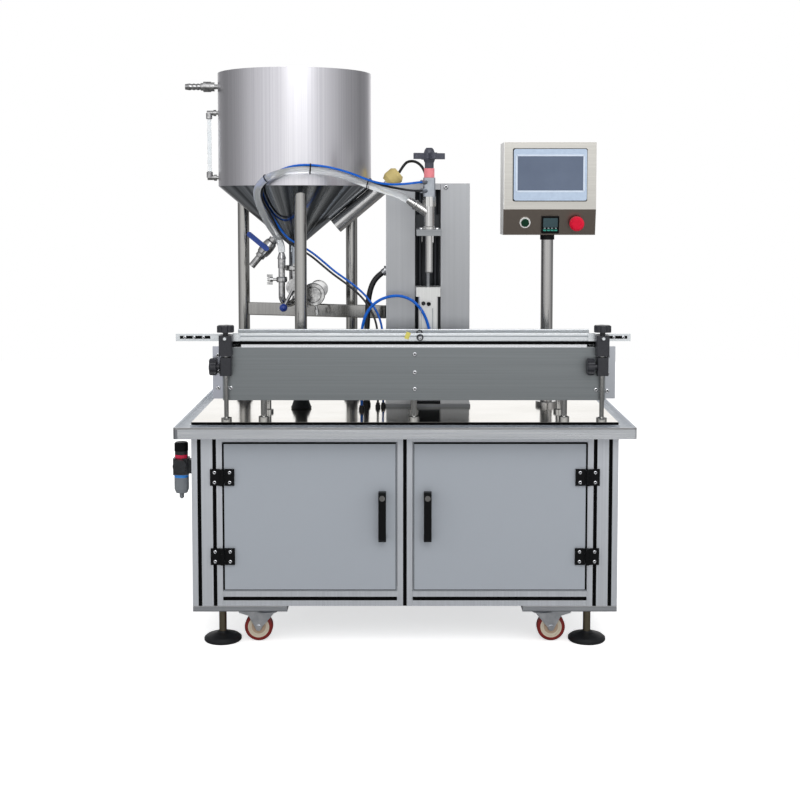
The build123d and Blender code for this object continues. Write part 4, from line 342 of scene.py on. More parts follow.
# The panel's case is finely brushed across; its side is painted pale, a painted highlight, and its chin is
# painted dark, painted shade for the dark floor it mirrors.
panel_steel = finish(
    "brushed_panel_steel", "cbc9c3", "c1bfb9", 0.3, 1.0, (2, 2, 320),
    zones=[
        (inside(free, (275.5, None, None)), "f6f6f4", 0.4, 0.2),
        (inside(free, (None, -100.8, 1155)), "92887f", 0.3, 1.0),
    ],
)
# The table's board is a rolled mirror sheet: hardly any grain, and slow waves.
board_steel = finish("mirror_board_steel", "efece6", "dfdbd3", 0.14, 1.0, (4, 7, 4), bump=0.0002)
# The tray is brushed lengthwise, smoother and a little paler on top, and darker at a corner at the left.
rim_steel = finish(
    "tray_steel", "f0f3f7", "dde1e6", 0.26, 0.85, (3, 3, 260),
    zones=[
        (over(588), "f6f7f9", 0.14, 1.0),
        (inside(free, (-588, -391, 588)), "a2a5ab", 0.3, 1.0),
    ],
)
# Cut plate under the posts: its upper edge is painted bright, a painted highlight, and a line near its foot
# is painted dark, painted shade.
plate_steel = finish(
    "plate_steel", "dadde2", "cbcfd5", 0.34, 1.0, (3, 200, 200),
    zones=[
        (over(107.2), "f4f6f8", 0.3, 1.0),
        (inside((None, None, 94), (None, None, 97)), "8c8f95", 0.4, 1.0),
    ],
)
# The column's covers are brushed upright; their slot is painted dark inside, painted shade, and the foot
# flange under 607.5 mm is darker and a little rougher.
cover_finish = finish(
    "column_covers", "b4b6b9", "adafb2", 0.36, 1.0, (300, 300, 2),
    zones=[
        (inside((29.4, -61, 610), (100.6, -20, 1226)), "2f3236", 0.4, 0.6),
        (under(607.5), "85888b", 0.4, 1.0),
    ],
)
print(len(finishes), "finishes of sheet")

# %% [markdown]
# Tubes are polished and mirror in upright bands. Cast fittings have an even grain and a shallow
# relief, and plated or anodised metal is smooth, with a grey as even as paint.

# %% Tubes, castings and bars
# Drawn and polished tube.
polished_steel = finish("polished_tube_steel", "b9b8b6", "a9a8a6", 0.16, 1.0, (160, 160, 3))
# Investment castings, tumbled bright: a strong contrast within a few millimetres.
cast_steel = finish("cast_fitting_steel", "d9d9d8", "8e8e8f", 0.14, 1.0, (90, 90, 90), bump=0.0005)
# Zinc on pressed steel: soft cloudy patches.
zinc_plate = finish("zinc_plating", "f0f2f5", "c9cdd3", 0.3, 0.9, (45, 45, 45))
# Drawn cylinder body, clear anodised, nearly white.
cylinder_alloy = finish("lift_cylinder_alloy", "e9eae8", "dcdddb", 0.34, 0.8, (300, 300, 3))
# The nozzle's tube, turned and then polished lengthwise.
turned_steel = finish("turned_nozzle_steel", "e6e6e4", "b4b4b2", 0.2, 1.0, (260, 260, 5))
# Screws with bright zinc: the smallest mirrors on the machine.
bright_screw = finish("bright_zinc_screw", "f6f7f9", "dcdee2", 0.16, 1.0, (120, 120, 120))
# Drawn bars, clear anodised: matt, with a trace of the drawing.
anodised = finish("anodised_bar", "d8dce2", "ced2d8", 0.4, 0.6, (260, 260, 3))
# The guide rail is bright drawn, and the jar sensor's ring and eye are set in it.
sensor_eye = (40, 0, 818.5)
bright_rail = finish(
    "bright_guide_rail", "eff3f5", "dde2e6", 0.26, 0.75, (3, 200, 300),
    zones=[
        (round_about(sensor_eye, 9.2, flat_y=True), "34373b", 0.35, 0.4),
        (round_about(sensor_eye, 5.4, flat_y=True), "eceef0", 0.2, 0.8),
        (round_about(sensor_eye, 1.8, flat_y=True), "1d1f22", 0.4, 0.0),
    ],
)
# The lift's plate is milled and dull, and painted dark where it runs inside the column: painted shade.
carriage_finish = finish(
    "carriage_plate", "999c9f", "8b8e91", 0.36, 0.85, (3, 200, 200),
    zones=[(inside((None, -70, 1102.5), free), "34373a", 0.5, 0.3)],
)
print(len(finishes), "finishes with the metals")

# %% [markdown]
# Boards and plastics keep their colour whatever they mirror. Black nylon and the black strips
# would look grey under a white room, so their specular level is low, as it is on matt mouldings.

# %% Boards and plastics
# Laminated door and side boards: an even blue grey with a very fine orange peel.
door_paint = finish("grey_door_board", "a6acb4", "a3a9b1", 0.5, 0.0, (900, 900, 900), bump=0.0001)
side_board = finish("grey_side_board", "a6acb4", "a3a9b1", 0.5, 0.0, (900, 900, 900), bump=0.0001)
even_grain = (300, 300, 300)
# Moulded nylon with a spark-eroded grain: black, dark and slate.
black_plastic = finish(
    "moulded_black_nylon", "0f1012", "08090a", 0.42, 0.0, even_grain, bump=0.00015, Specular_IOR_Level=0.14
)
bracket_nylon = finish("moulded_dark_nylon", "303137", "25262b", 0.4, 0.0, even_grain, bump=0.00015)
slate_plastic = finish("moulded_slate_nylon", "50525e", "41434e", 0.4, 0.0, even_grain, bump=0.00015)
# Extruded strips for the slots: matt, the blackest thing on the machine.
black_strip = finish(
    "slot_strip_plastic", "060607", "030304", 0.5, 0.0, (200, 200, 200), Specular_IOR_Level=0.06
)
# Tube of black polyurethane and the dipped sleeve of a lever: smooth, softly glossy.
black_rubber = finish("black_tube_plastic", "1c1d20", "131416", 0.38, 0.0, (150, 150, 150))
blue_sleeve = finish("blue_lever_sleeve", "1f4aa6", "183a86", 0.34, 0.0, (150, 150, 150))
fine_grain = (80, 80, 80)
# Tube of blue polyurethane: strong colour, tight highlight.
blue_tube = finish("blue_air_tube", "0a6ad8", "085ac0", 0.25, 0.0, fine_grain, Specular_IOR_Level=0.3)
# A film tag, painted shade for the bottom of a socket, a port or a gap, and a grey rubber seal.
yellow_tag = finish("yellow_tag_film", "dcd26a", "cfc45c", 0.45, 0.0, fine_grain)
painted_recess_shade = finish("painted_recess_shade_finish", "2a2b2e", "1c1d1f", 0.6, 0.0, fine_grain)
grey_seal = finish("grey_groove_seal", "8e959c", "80878e", 0.5, 0.0, fine_grain)
print(len(finishes), "finishes with the plastics")

# %% [markdown]
# The display is off: a slate glass with a faint cloud in it. The gauge's tube and the hose are
# clear, so they transmit light and take a low IOR, which bends it little.

# %% Glass, print and clear tube
display_glass = finish("display_glass", "6b778c", "626e83", 0.12, 0.0, (9, 9, 9), Specular_IOR_Level=0.25)
# A painted highlight: the pale line round the display, on the edge of the frame's pocket.
bezel_highlight = finish("painted_bezel_highlight", "dde8f6", "d4e1f3", 0.4, 0.0, fine_grain)
window_glass = finish(
    "controller_window", "405459", "374a50", 0.15, 0.0, (20, 20, 20), Specular_IOR_Level=0.3
)
teal_key = finish("teal_key_rubber", "2fa08e", "27907f", 0.45, 0.0, fine_grain)
pale_key = finish("pale_key_print", "b7c9cc", "a9bcc0", 0.45, 0.0, fine_grain)
# Blown glass gauge, nearly all clear.
gauge_clear = finish(
    "clear_gauge_tube", "fbfcfd", "f4f8fa", 0.04, 0.0, (60, 60, 60), Transmission_Weight=0.95, IOR=1.2
)
# Soft clear hose: milky, so that a third of the light stays on it.
hose_clear = finish(
    "clear_hose_plastic", "fbfcfd", "eef2f5", 0.1, 0.0, (30, 30, 30), Transmission_Weight=0.68, IOR=1.3
)
# Glossy moulded buttons: a red mushroom and a dark green cap.
stop_finish = finish(
    "red_mushroom", "e4183a", "d61234", 0.28, 0.0, (60, 60, 60), Specular_IOR_Level=0.2
)
start_finish = finish(
    "green_push_cap", "063a26", "04301e", 0.15, 0.0, (60, 60, 60), Specular_IOR_Level=0.4
)
print(len(finishes), "finishes with the clear ones")

# %% [markdown]
# Some neighbours are one solid in the model and two things on the machine: a rubber foot and
# its stem, a tyre and its hub, a tube and its cap. Each zone is placed by the real piece's
# height or radius.

# %% Pieces of two materials
# Black rubber pad with a waxy steel stem.
foot_finish = finish(
    "rubber_foot_with_stem", "1b1d20", "131518", 0.45, zones=[(over(26.3), "8d8470", 0.3, 1.0)]
)
# Red polyurethane tyre, cream hub, brownish bearing seat, zinc axle.
wheel_axle = (392, 0, 38.5)
wheel_finish = finish(
    "red_tread_with_hub", "86201a", "741a15", 0.32,
    zones=[
        (round_about(wheel_axle, 28.5, fold_x=True, flat_y=True), "d3c9b6", 0.4, 0.0),
        (round_about(wheel_axle, 19.0, fold_x=True, flat_y=True), "b39c86", 0.45, 0.0),
        (round_about(wheel_axle, 9.5, fold_x=True, flat_y=True), "b9bdc2", 0.3, 1.0),
    ],
)
# Polished legs in black moulded caps.
stand_finish = finish(
    "stand_tubes_with_caps", "b9b8b4", "a8a7a4", 0.17, 1.0, (160, 160, 3),
    zones=[(under(641), "15171a", 0.4, 0.0)],
)
# Brushed heater tube with a cap of cream resin, 194.5 mm along its slope.
heater_way = (0.7654047, 0.0, 0.6435492)
heater_foot = (-199.454, 62.0, 1105.722)
heater_finish = finish(
    "heater_tube_with_cap", "d6d6d5", "bababa", 0.24, 0.85, (30, 200, 30),
    zones=[(beyond(heater_foot, heater_way, 194.5), "dfca84", 0.5, 0.0)],
)
# Anodised actuator with a coral plastic collar.
actuator_finish = finish(
    "actuator_with_collar", "aeb3b9", "9ca1a8", 0.3, 0.9, zones=[(over(1239.6), "f08a92", 0.35, 0.0)]
)
# Bright handle with a blue plastic ball.
rotor_finish = finish(
    "rotor_with_ball", "c2c2c2", "a4a4a4", 0.2, 1.0,
    zones=[(round_about((-348, 6, 872), 13), "24439c", 0.3, 0.0)],
)
# Turned posts; the cable glands beside them are black nylon.
post_finish = finish(
    "posts_with_glands", "c4c4c2", "b0b0ae", 0.15, 1.0, (200, 200, 4),
    zones=[(inside((-136, -172, None), (-44, -40, None)), "15171a", 0.45, 0.0)],
)
# Pale blue frame of the screen, black controller and collar, white ring of the start button.
screen_frame = finish(
    "screen_frame_plastic", "c2d3e8", "b9cae0", 0.35, Specular_IOR_Level=0.2,
    zones=[
        (under(1145), "060708", 0.35, 0.0),
        (inside((316, None, 1100), (352, None, 1140)), "fafaf8", 0.25, 0.3),
    ],
)
# Dark body and smoky bowl with a blue and a red ring; the gauge in front is bright metal.
regulator_finish = finish(
    "regulator_body", "2a2c30", "1d1f22", 0.35,
    zones=[
        (under(459.2), "767b80", 0.25, 0.0),
        (inside((None, None, 450.5), (None, None, 458.5)), "2f86d8", 0.3, 0.0),
        (inside((None, None, 502.3), (None, None, 511)), "d81f4a", 0.3, 0.0),
        (inside((None, -311.2, None), free), "c8c8c8", 0.25, 1.0),
    ],
)
print(len(finishes), "finishes in all")

# %% Give each part its finish
dressed_in = (
    (anodised, "cabinet_profiles"),
    (side_board, "cabinet_panels drive_motor"),
    (plate_steel, "corner_plates"),
    (foot_finish, "levelling_feet"),
    (rim_steel, "drip_tray"),
    (board_steel, "table_board"),
    (black_plastic, "hinge_leaves left_door_fittings right_door_fittings regulator_knob"),
    (door_paint, "door_left door_right"),
    (polished_steel, "left_lock right_lock metering_piston hmi_pole"),
    (hopper_steel, "hopper"),
    (stand_finish, "hopper_stand"),
    (cast_steel, "hopper_fittings product_valve metering_cylinder pipe_clamps"),
    (gauge_clear, "gauge_tube"),
    (blue_sleeve, "drain_lever"),
    (heater_finish, "heater"),
    (rotor_finish, "valve_rotor"),
    (cover_finish, "column"),
    (cylinder_alloy, "lift_cylinder"),
    (carriage_finish, "nozzle_carriage"),
    (turned_steel, "nozzle_body"),
    (actuator_finish, "nozzle_actuator"),
    (slate_plastic, "nozzle_knob"),
    (conveyor_steel, "conveyor_frame drive_shaft idler_shaft"),
    (slat_steel, "slat_belt"),
    (post_finish, "posts_and_glands"),
    (bright_rail, "front_guide_rail rear_guide_rail"),
    (bracket_nylon, "rail_brackets"),
    (panel_steel, "hmi_box"),
    (screen_frame, "hmi_instruments"),
    (stop_finish, "stop_button"),
    (start_finish, "start_button"),
    (regulator_finish, "air_regulator"),
)
finish_of = {name: made for made, names in dressed_in for name in names.split()}
for corner in ("front_left", "front_right", "rear_left", "rear_right"):
    finish_of[f"caster_fork_{corner}"] = zinc_plate
    finish_of[f"caster_wheel_{corner}"] = wheel_finish
for name, made in finish_of.items():
    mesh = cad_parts[name].data
    mesh.materials.clear()
    mesh.materials.append(made)
print(len(finish_of), "parts have their finish")

# %% [markdown]
# The hose and the tubes come next, because everything else has to leave room for them. Each
# is a NURBS curve of order 3 through listed points: such a curve pulls evenly towards
# its points and never kinks, like a tube that is a little too stiff to make a corner. The
# tubes that end on the lifting nozzle become meshes.


# %% Tubes and curves
def add_object(name, data, made=None):
    """A new object in the scene with one material."""
    thing = bpy.data.objects.new(name, data)
    scene.collection.objects.link(thing)
    if made is not None:
        data.materials.append(made)
    return thing


def route_curve(name, points, diameter, made):
    """A tube as a NURBS curve through listed points in millimetres."""
    data = bpy.data.curves.new(name, "CURVE")
    data.dimensions = "3D"
    data.resolution_u = 10
    data.bevel_depth = diameter / 2 * mm
    data.bevel_resolution = 6
    data.use_fill_caps = True
    line = data.splines.new("NURBS")
    line.points.add(len(points) - 1)
    line.points.foreach_set("co", [value for x, y, z in points for value in (x * mm, y * mm, z * mm, 1)])
    line.order_u = 3
    line.use_endpoint_u = True
    return add_object(name, data, made)


def line_points(curve):
    """The points that Blender draws the curve through, read with its thickness taken off."""
    thickness = curve.data.bevel_depth
    curve.data.bevel_depth = 0
    curve.data.use_fill_caps = False
    bpy.context.view_layer.update()
    flat = bpy.data.meshes.new_from_object(curve)
    found = np.empty(len(flat.vertices) * 3)
    flat.vertices.foreach_get("co", found)
    bpy.data.meshes.remove(flat)
    curve.data.bevel_depth = thickness
    return found.reshape(-1, 3)


def grid_mesh(name, grid, close_rows=False, close_columns=False, smooth=True):
    """A mesh from a grid of points: face (i, j) joins points (i, j), (i, j+1), (i+1, j+1), (i+1, j)."""
    rows, columns = grid.shape[:2]
    number = np.arange(rows * columns).reshape(rows, columns)
    if close_rows:
        number = np.vstack([number, number[:1]])
    if close_columns:
        number = np.hstack([number, number[:, :1]])
    corners = [number[:-1, :-1], number[:-1, 1:], number[1:, 1:], number[1:, :-1]]
    faces = np.stack(corners, axis=-1).reshape(-1, 4)
    data = bpy.data.meshes.new(name)
    data.from_pydata(grid.reshape(-1, 3), [], faces)
    data.polygons.foreach_set("use_smooth", [smooth] * len(faces))
    data.update()
    return data


def tube_grid(path, radius, sides=24):
    """Rings round a path: point = centre + radius (cos a · side + sin a · up).

    side and up are square to the path and turn with it: each side is the one before it, less
    what of it runs along the path.
    """
    tangent = np.gradient(path, axis=0)
    tangent /= np.linalg.norm(tangent, axis=1, keepdims=True)
    side = np.empty_like(path)
    side[0] = np.cross(tangent[0], (0.31, 0.87, 0.38))
    for i in range(1, len(path)):
        side[i] = side[i - 1] - tangent[i] * np.dot(side[i - 1], tangent[i])
    side /= np.linalg.norm(side, axis=1, keepdims=True)
    up = np.cross(tangent, side)
    angle = np.linspace(0, 2 * pi, sides, endpoint=False)[None, :, None]
    reach = np.broadcast_to(np.asarray(radius, dtype=float), (len(path),))[:, None, None]
    return path[:, None] + reach * (np.cos(angle) * side[:, None] + np.sin(angle) * up[:, None])


# %% The hose from the metering valve to the nozzle
hose_points = [
    (-355, 36, 1031), (-355, 36, 1048), (-361, 24, 1067), (-372, 2, 1088), (-383, -23, 1108),
    (-391, -50, 1127), (-397, -79, 1146), (-403, -110, 1168), (-406.5, -142, 1190),
    (-403, -167, 1212), (-388, -185, 1230.5), (-365, -195, 1244), (-338, -199, 1253),
    (-306, -200, 1259.5), (-270, -196, 1262), (-226, -189, 1259), (-181, -184, 1249.5),
    (-139, -191, 1237), (-99, -204, 1222), (-63, -221, 1209), (-34, -237, 1200), (-9.7, -245, 1192),
    (7, -245, 1181),
]
blue_points = [
    (43.8, -275.3, 1227.4), (35.2, -287.6, 1226.5), (17, -296, 1224), (-10, -296, 1221.5),
    (-37, -285, 1221), (-62, -264, 1224), (-87, -243, 1230), (-111, -221, 1239), (-141, -203, 1251),
    (-178, -193, 1263), (-224, -193, 1273), (-271, -196, 1276), (-309, -193, 1271.5),
    (-340, -187, 1260), (-364, -181, 1247), (-383, -172, 1236), (-397, -155, 1219),
    (-401, -131, 1200), (-398.5, -104, 1180), (-390, -80, 1162), (-378, -59, 1144),
    (-365, -39, 1119), (-350, -31, 1095), (-331, -36, 1073), (-308, -46, 1060), (-283, -50, 1047),
    (-257, -48, 1030), (-228, -48, 1006), (-198, -52, 980), (-168, -60, 960), (-137, -70, 938),
    (-108, -80, 912), (-88, -90, 886), (-71, -98, 856), (-62, -102, 820), (-60, -103, 775),
    (-62, -102, 725), (-62, -100, 668), (-60, -100, 613),
]
black_points = [
    (43.8, -275.3, 1204.4), (35.2, -287.6, 1204), (16, -297, 1205), (-10, -296, 1209),
    (-36, -281, 1214), (-62, -256, 1220), (-85, -233, 1228), (-108, -210, 1238), (-140, -193, 1251),
    (-178, -184, 1263), (-225, -185, 1273), (-271, -187.5, 1273), (-308, -187, 1265),
    (-338, -184.5, 1253), (-360, -181, 1240.5), (-377, -172.5, 1229), (-389.5, -156, 1213),
    (-394.5, -134, 1195), (-391.5, -108, 1174), (-385, -86, 1157), (-376, -69, 1141),
    (-366, -49, 1117), (-354, -40, 1089), (-339, -41, 1067), (-314, -51, 1053), (-288, -56, 1039),
    (-260, -55, 1021), (-232, -55, 997), (-203, -58, 973), (-174, -65, 953), (-144, -74, 931),
    (-116, -84, 905), (-97, -94, 878), (-82, -101, 848), (-75, -104, 812), (-74, -104, 767),
    (-76, -103, 717), (-76, -101, 664), (-75, -100, 613),
]
lift_points = [
    (-119, -150, 613), (-120, -150, 667), (-122, -150, 726), (-121, -150, 787), (-117, -150, 836),
    (-105, -150, 872), (-82, -150, 899), (-50, -152, 915), (-12, -155, 919.5), (24, -158, 905),
    (49, -159, 877), (64, -160, 842), (71, -160.5, 804), (72, -161, 766),
]
conduit_points = [
    (-108, -62, 613), (-111, -58, 694), (-110, -54, 772), (-105, -50, 845), (-103, -50, 900),
    (-94, -50, 940), (-78, -50, 965), (-62.5, -50, 976),
]
lead_points = [
    (-15.6, 62, 1260.3), (0, 61, 1287), (16, 48, 1294), (34, 27, 1291), (48, 3, 1279),
    (56, -20, 1264), (60, -36, 1251), (60, -42, 1239),
]


def bending_tube(name, points, diameter, made):
    """A tube that runs to the lifting nozzle: a mesh round the route's own line."""
    curve = route_curve(name + "_line", points, diameter, made)
    path = line_points(curve)
    bpy.data.objects.remove(curve)
    rings = tube_grid(path, diameter / 2 * mm)
    data = grid_mesh(name, rings, close_columns=True)
    tube = add_object(name, data, made)
    close_ends(data)
    return tube, path


def close_ends(data):
    """Fills the open ends of a tube and turns all faces outwards."""
    work = bmesh.new()
    work.from_mesh(data)
    bmesh.ops.holes_fill(work, edges=[edge for edge in work.edges if edge.is_boundary], sides=0)
    bmesh.ops.recalc_face_normals(work, faces=work.faces)
    work.to_mesh(data)
    work.free()


def line_length(path):
    """The length of a line of points, in metres."""
    return float(np.linalg.norm(np.diff(path, axis=0), axis=1).sum())


# %% Lay the lines that run to the nozzle
hose_bend = ((-0.340, -0.190, 1.240), (-0.015, -0.245, 1.190))
strand_bend = ((-0.100, -0.100, 1.100), (0.0, -0.290, 1.225))
in_hose, in_blue = (hose_clear, "clear_hose"), (blue_tube, "blue_tube")
in_black = (black_rubber, "black_rubber")
nozzle_lines = (
    ("product_hose_line", "product_hose", hose_points, 20, 744, in_hose, "stiff", hose_bend),
    ("blue_air_line", "blue_nozzle_tube", blue_points, 6, 1324, in_blue, "medium", strand_bend),
    ("black_air_line", "black_nozzle_tube", black_points, 6, 1303, in_black, "medium", strand_bend),
)
paths = {}
for name, node, points, diameter, length, (made, slot), stiffness, bend in nozzle_lines:
    tube, path = bending_tube(name, points, diameter, made)
    paths[name] = path
    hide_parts(node)
    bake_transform(tube)
    print(name, "follows a line", round(line_length(path) / mm), "mm long")

# %% Lay the lines that stand still
standing_lines = (
    ("lift_air_line", "lift_tube", lift_points, 8, 559, in_blue, "medium"),
    ("valve_cable_conduit", "valve_conduit", conduit_points, 16, 377, in_black, "stiff"),
    ("heater_cable", "heater_lead", lead_points, 8, 172, in_black, "medium"),
)
for name, node, points, diameter, length, (made, slot), stiffness in standing_lines:
    tube = route_curve(name, points, diameter, made)
    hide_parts(node)
    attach(tube, "machine")
print(len(standing_lines), "lines that don't move")

# %% [markdown]
# Small trim. Every screw on the machine is a button head with a hexagon socket: a dome of
# rings, whose innermost rings are pulled to six sides and pressed in. All the screws of one
# place are one mesh, worked out at once for all their centres.


# %% Screws, rings and plates
def frame_of(way):
    """Two directions square to way, as rows of (side, up, way)."""
    way = np.asarray(way, dtype=float)
    way = way / np.linalg.norm(way)
    helper = np.array((0.0, 0.0, 1.0)) if abs(way[2]) < 0.9 else np.array((1.0, 0.0, 0.0))
    side = np.cross(helper, way)
    side /= np.linalg.norm(side)
    return side, np.cross(way, side), way


def spun(name, centre, way, profile, made, body, sides=32, smooth=True):
    """A turned piece from (radius, height) pairs in millimetres.

    point = centre + radius (cos a · side + sin a · up) + height · way.
    """
    side, up, way = frame_of(way)
    profile = np.array(profile, dtype=float) * mm
    angle = np.linspace(0, 2 * pi, sides, endpoint=False)[None, :, None]
    rings = profile[:, 0][:, None, None] * (np.cos(angle) * side + np.sin(angle) * up)
    rings = rings + profile[:, 1][:, None, None] * way + np.array(centre, dtype=float) * mm
    return seated(name, grid_mesh(name, rings, close_columns=True, smooth=smooth), made, body)


def seated(name, data, made, body):
    """Closes a mesh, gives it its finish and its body."""
    close_ends(data)
    thing = add_object(name, data, made)
    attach(thing, body)
    return thing


def join(meshes, name):
    """Several meshes as one."""
    work = bmesh.new()
    for data in meshes:
        work.from_mesh(data)
        bpy.data.meshes.remove(data)
    whole = bpy.data.meshes.new(name)
    work.to_mesh(whole)
    work.free()
    return whole


def screw_heads(name, places, radius, made, body, height=0.55):
    """Button heads and the floors of their sockets, painted dark as painted shade, one mesh of each for all
    the places.

    A head is rings of a dome. Its inner rings follow a hexagon, whose radius is the flat's
    distance over cos(angle from the middle of the flat).
    """
    ring = np.array([(1, 0), (1, 0.25), (0.86, 0.7), (0.6, 0.96), (0.46, 1.0), (0.42, 0.45), (0.001, 0.4)])
    angle = np.linspace(0, 2 * pi, 24, endpoint=False)
    socket = 0.88 / np.cos((angle + pi / 6) % (pi / 3) - pi / 6)
    inner = np.arange(len(ring))[:, None] >= 4
    reach = ring[:, 0][:, None] * np.where(inner, socket[None, :], 1.0) * radius * mm
    rise = np.broadcast_to(ring[:, 1][:, None] * radius * height * mm, reach.shape)
    parts, floors = [], []
    for centre, way in places:
        side, up, out = frame_of(way)
        turn = np.cos(angle)[None, :, None] * side + np.sin(angle)[None, :, None] * up
        middle = np.array(centre, dtype=float) * mm
        head = reach[..., None] * turn + rise[..., None] * out + middle
        parts.append(grid_mesh(name, head, close_columns=True))
        rings = np.array([(0.43, 0.42), (0.43, 0.5), (0.01, 0.5)]) * radius * mm
        floor = (rings[:, :1] * socket)[..., None] * turn
        floor = floor + (rings[:, 1] * height)[:, None, None] * out + middle
        floors.append(grid_mesh(name, floor, close_columns=True, smooth=False))
    seated(name + "_sockets", join(floors, name + "_sockets"), painted_recess_shade, body)
    return seated(name, join(parts, name), made, body)


def outline(width, height, corner, steps=6):
    """A rounded rectangle: each corner's centre plus corner · (cos a, sin a), a quarter turn for each."""
    turn = np.linspace(0, pi / 2, steps)[None, :] + np.arange(4)[:, None] * pi / 2
    across = np.array((1, -1, -1, 1))[:, None] * (width / 2 - corner) + corner * np.cos(turn)
    along = np.array((1, 1, -1, -1))[:, None] * (height / 2 - corner) + corner * np.sin(turn)
    return np.stack([across.ravel(), along.ravel()], axis=-1)


def plate(name, centre, side, up, size, corner, thick, made, body, edge=0.6):
    """A plate with rounded corners: its outline at the back and in front, and inset by the soft edge."""
    side, up = np.array(side, dtype=float), np.array(up, dtype=float)
    out = np.cross(side, up)
    rings = []
    for inset, rise in ((0, 0), (0, thick - edge), (edge, thick)):
        flat = outline(size[0] - 2 * inset, size[1] - 2 * inset, max(corner - inset, 0.05))
        rings.append(flat[:, :1] * side + flat[:, 1:] * up + out * rise)
    grid = (np.array(rings) + np.array(centre, dtype=float)) * mm
    return seated(name, grid_mesh(name, grid, close_columns=True, smooth=False), made, body)


def strip(name, runs, width, thick, made, body):
    """Straight strips with rounded edges: an outline carried from each start to its end, facing out."""
    parts = []
    for start, end, out in runs:
        start, end = np.array(start, dtype=float), np.array(end, dtype=float)
        along = (end - start) / np.linalg.norm(end - start)
        across = np.cross(np.array(out, dtype=float), along)
        flat = outline(width, thick, min(width, thick) * 0.3, steps=3)
        ring = flat[:, :1] * across + flat[:, 1:] * np.array(out, dtype=float)
        both_ends = np.stack([ring + start, ring + end]) * mm
        parts.append(grid_mesh(name, both_ends, close_columns=True, smooth=False))
    return seated(name, join(parts, name), made, body)


print("trim is made by spun, screw_heads, plate and strip")

# %% [markdown]
# The slots of the aluminium bars are closed with black plastic strips. Each has a thin flange
# that lies over the slot's edges, which draws the dark lines down the posts and along the rails.

# %% Slot strips
front, back, side_x = -355.0, 355.0, 560.0
strip_low, strip_high, strip_w, strip_t = 110.5, 587.5, 10.0, 1.4
rail_heights = (130, 568)
strip_runs = []
for y, out in ((front + 0.5, (0, -1, 0)), (back - 0.5, (0, 1, 0))):
    for x in (-540, -500, 0, 500, 540):
        strip_runs.append(((x, y, strip_low), (x, y, strip_high), out))
    for z in rail_heights:
        for start_x, end_x in ((-479, -21), (21, 479)):
            strip_runs.append(((start_x, y, z), (end_x, y, z), out))
for x, out in ((0.5 - side_x, (-1, 0, 0)), (side_x - 0.5, (1, 0, 0))):
    for y in (-335, 335):
        strip_runs.append(((x, y, strip_low), (x, y, strip_high), out))
    for z in rail_heights:
        strip_runs.append(((x, -314, z), (x, 314, z), out))
strip("slot_strips", strip_runs, strip_w, strip_t, black_strip, "machine")
print(len(strip_runs), "slot strips")

# %% [markdown]
# Each hinge has four screws. Two hold the leaf on the post and two swing with the door.

# %% Screws of the hinges
toward = (0, -1, 0)
leaf_y, hinge_screw = -360.0, 5.2
for side, sign in (("left", -1), ("right", 1)):
    fixed, swinging = [], []
    for z in (221.5, 432.5):
        for up in (9, 35):
            fixed.append(((sign * 499, leaf_y, z + up), toward))
            swinging.append(((sign * 459.5, leaf_y, z + up), toward))
    screw_heads(f"{side}_hinge_frame_screws", fixed, hinge_screw, bright_screw, "machine")
    on_door = f"{side}_door"
    screw_heads(f"{side}_hinge_door_screws", swinging, hinge_screw, bright_screw, on_door)
    print(side, "hinges:", len(fixed), "screws on the post,", len(swinging), "on the door")

# %% [markdown]
# The dark gaps round each door's board are painted shadow: a broad black strip on top and at
# its hinges, where the gap to the bars is deep, and a thin dark line on its other two edges.

# %% Painted shadow in the door gaps
gap_shadow_y, gap_shadow_w, thin_shadow_w = -354.7, 4.4, 1.8
base, top = 153.6, 544.4
for side, sign in (("left", -1), ("right", 1)):
    near, far = sign * 23.6, sign * 476.9
    corners = {(x, z): (x, gap_shadow_y, z) for x in (near, far) for z in (base, top)}
    thick_shadow_runs = [
        (corners[far, base], corners[far, top], toward),
        (corners[near, top], corners[far, top], toward),
    ]
    thin_shadow_runs = [
        (corners[near, base], corners[near, top], toward),
        (corners[near, base], corners[far, base], toward),
    ]
    on_door = f"{side}_door"
    # Painted shadow: broad strips on top and at the hinges, thin lines on the other two edges.
    strip(f"{side}_door_gap_shadow", thick_shadow_runs, gap_shadow_w, strip_t, black_strip, on_door)
    strip(f"{side}_door_thin_gap_shadow", thin_shadow_runs, thin_shadow_w, strip_t, painted_recess_shade, on_door)
print("each door's board is", round(abs(far - near), 1), "mm wide and", round(top - base, 1), "mm high")

# %% [markdown]
# The board's front edge is black, as on a sheet that is glued over a core. It is a flat strip
# along the whole front, a hair proud of the edge that it covers.

# %% Black edge of the table
edge_run = [((-559, front, 593), (559, front, 593), toward)]
strip("table_edge", edge_run, 13.6, 0.9, black_strip, "machine")
print("the table's black edge is", edge_run[0][1][0] - edge_run[0][0][0], "mm long")

# %% [markdown]
# On the conveyor the side plate carries three bolts in the middle and one at each end, and the
# nose plates have their own. A black strip beside the chain, under the guide rail, is painted shadow.

# %% Screws and painted shadow strip of the conveyor
side_plate_y = -315.0
screw_spots = [(26.0, z) for z in (774.5, 726, 682)]
screw_spots += [(-460.5, 685), (505.0, 680)]
screw_spots += [(-493.0, z) for z in (772, 728, 685)]
screw_spots += [(534.5, z) for z in (769, 724, 677)]
screws = [((x, side_plate_y, z), toward) for x, z in screw_spots]
screw_heads("side_plate_screws", screws, 6.2, bright_screw, "machine")
# Painted shadow: a black strip in the gap under the guide rail.
shadow_strip_y, shadow_strip_z = -304.2, 803.8
shadow_strip_run = [((-470, shadow_strip_y, shadow_strip_z), (518, shadow_strip_y, shadow_strip_z), toward)]
strip("chain_shadow_strip", shadow_strip_run, 7.4, 2.0, black_strip, "machine")
print(len(screws), "screws on the conveyor")

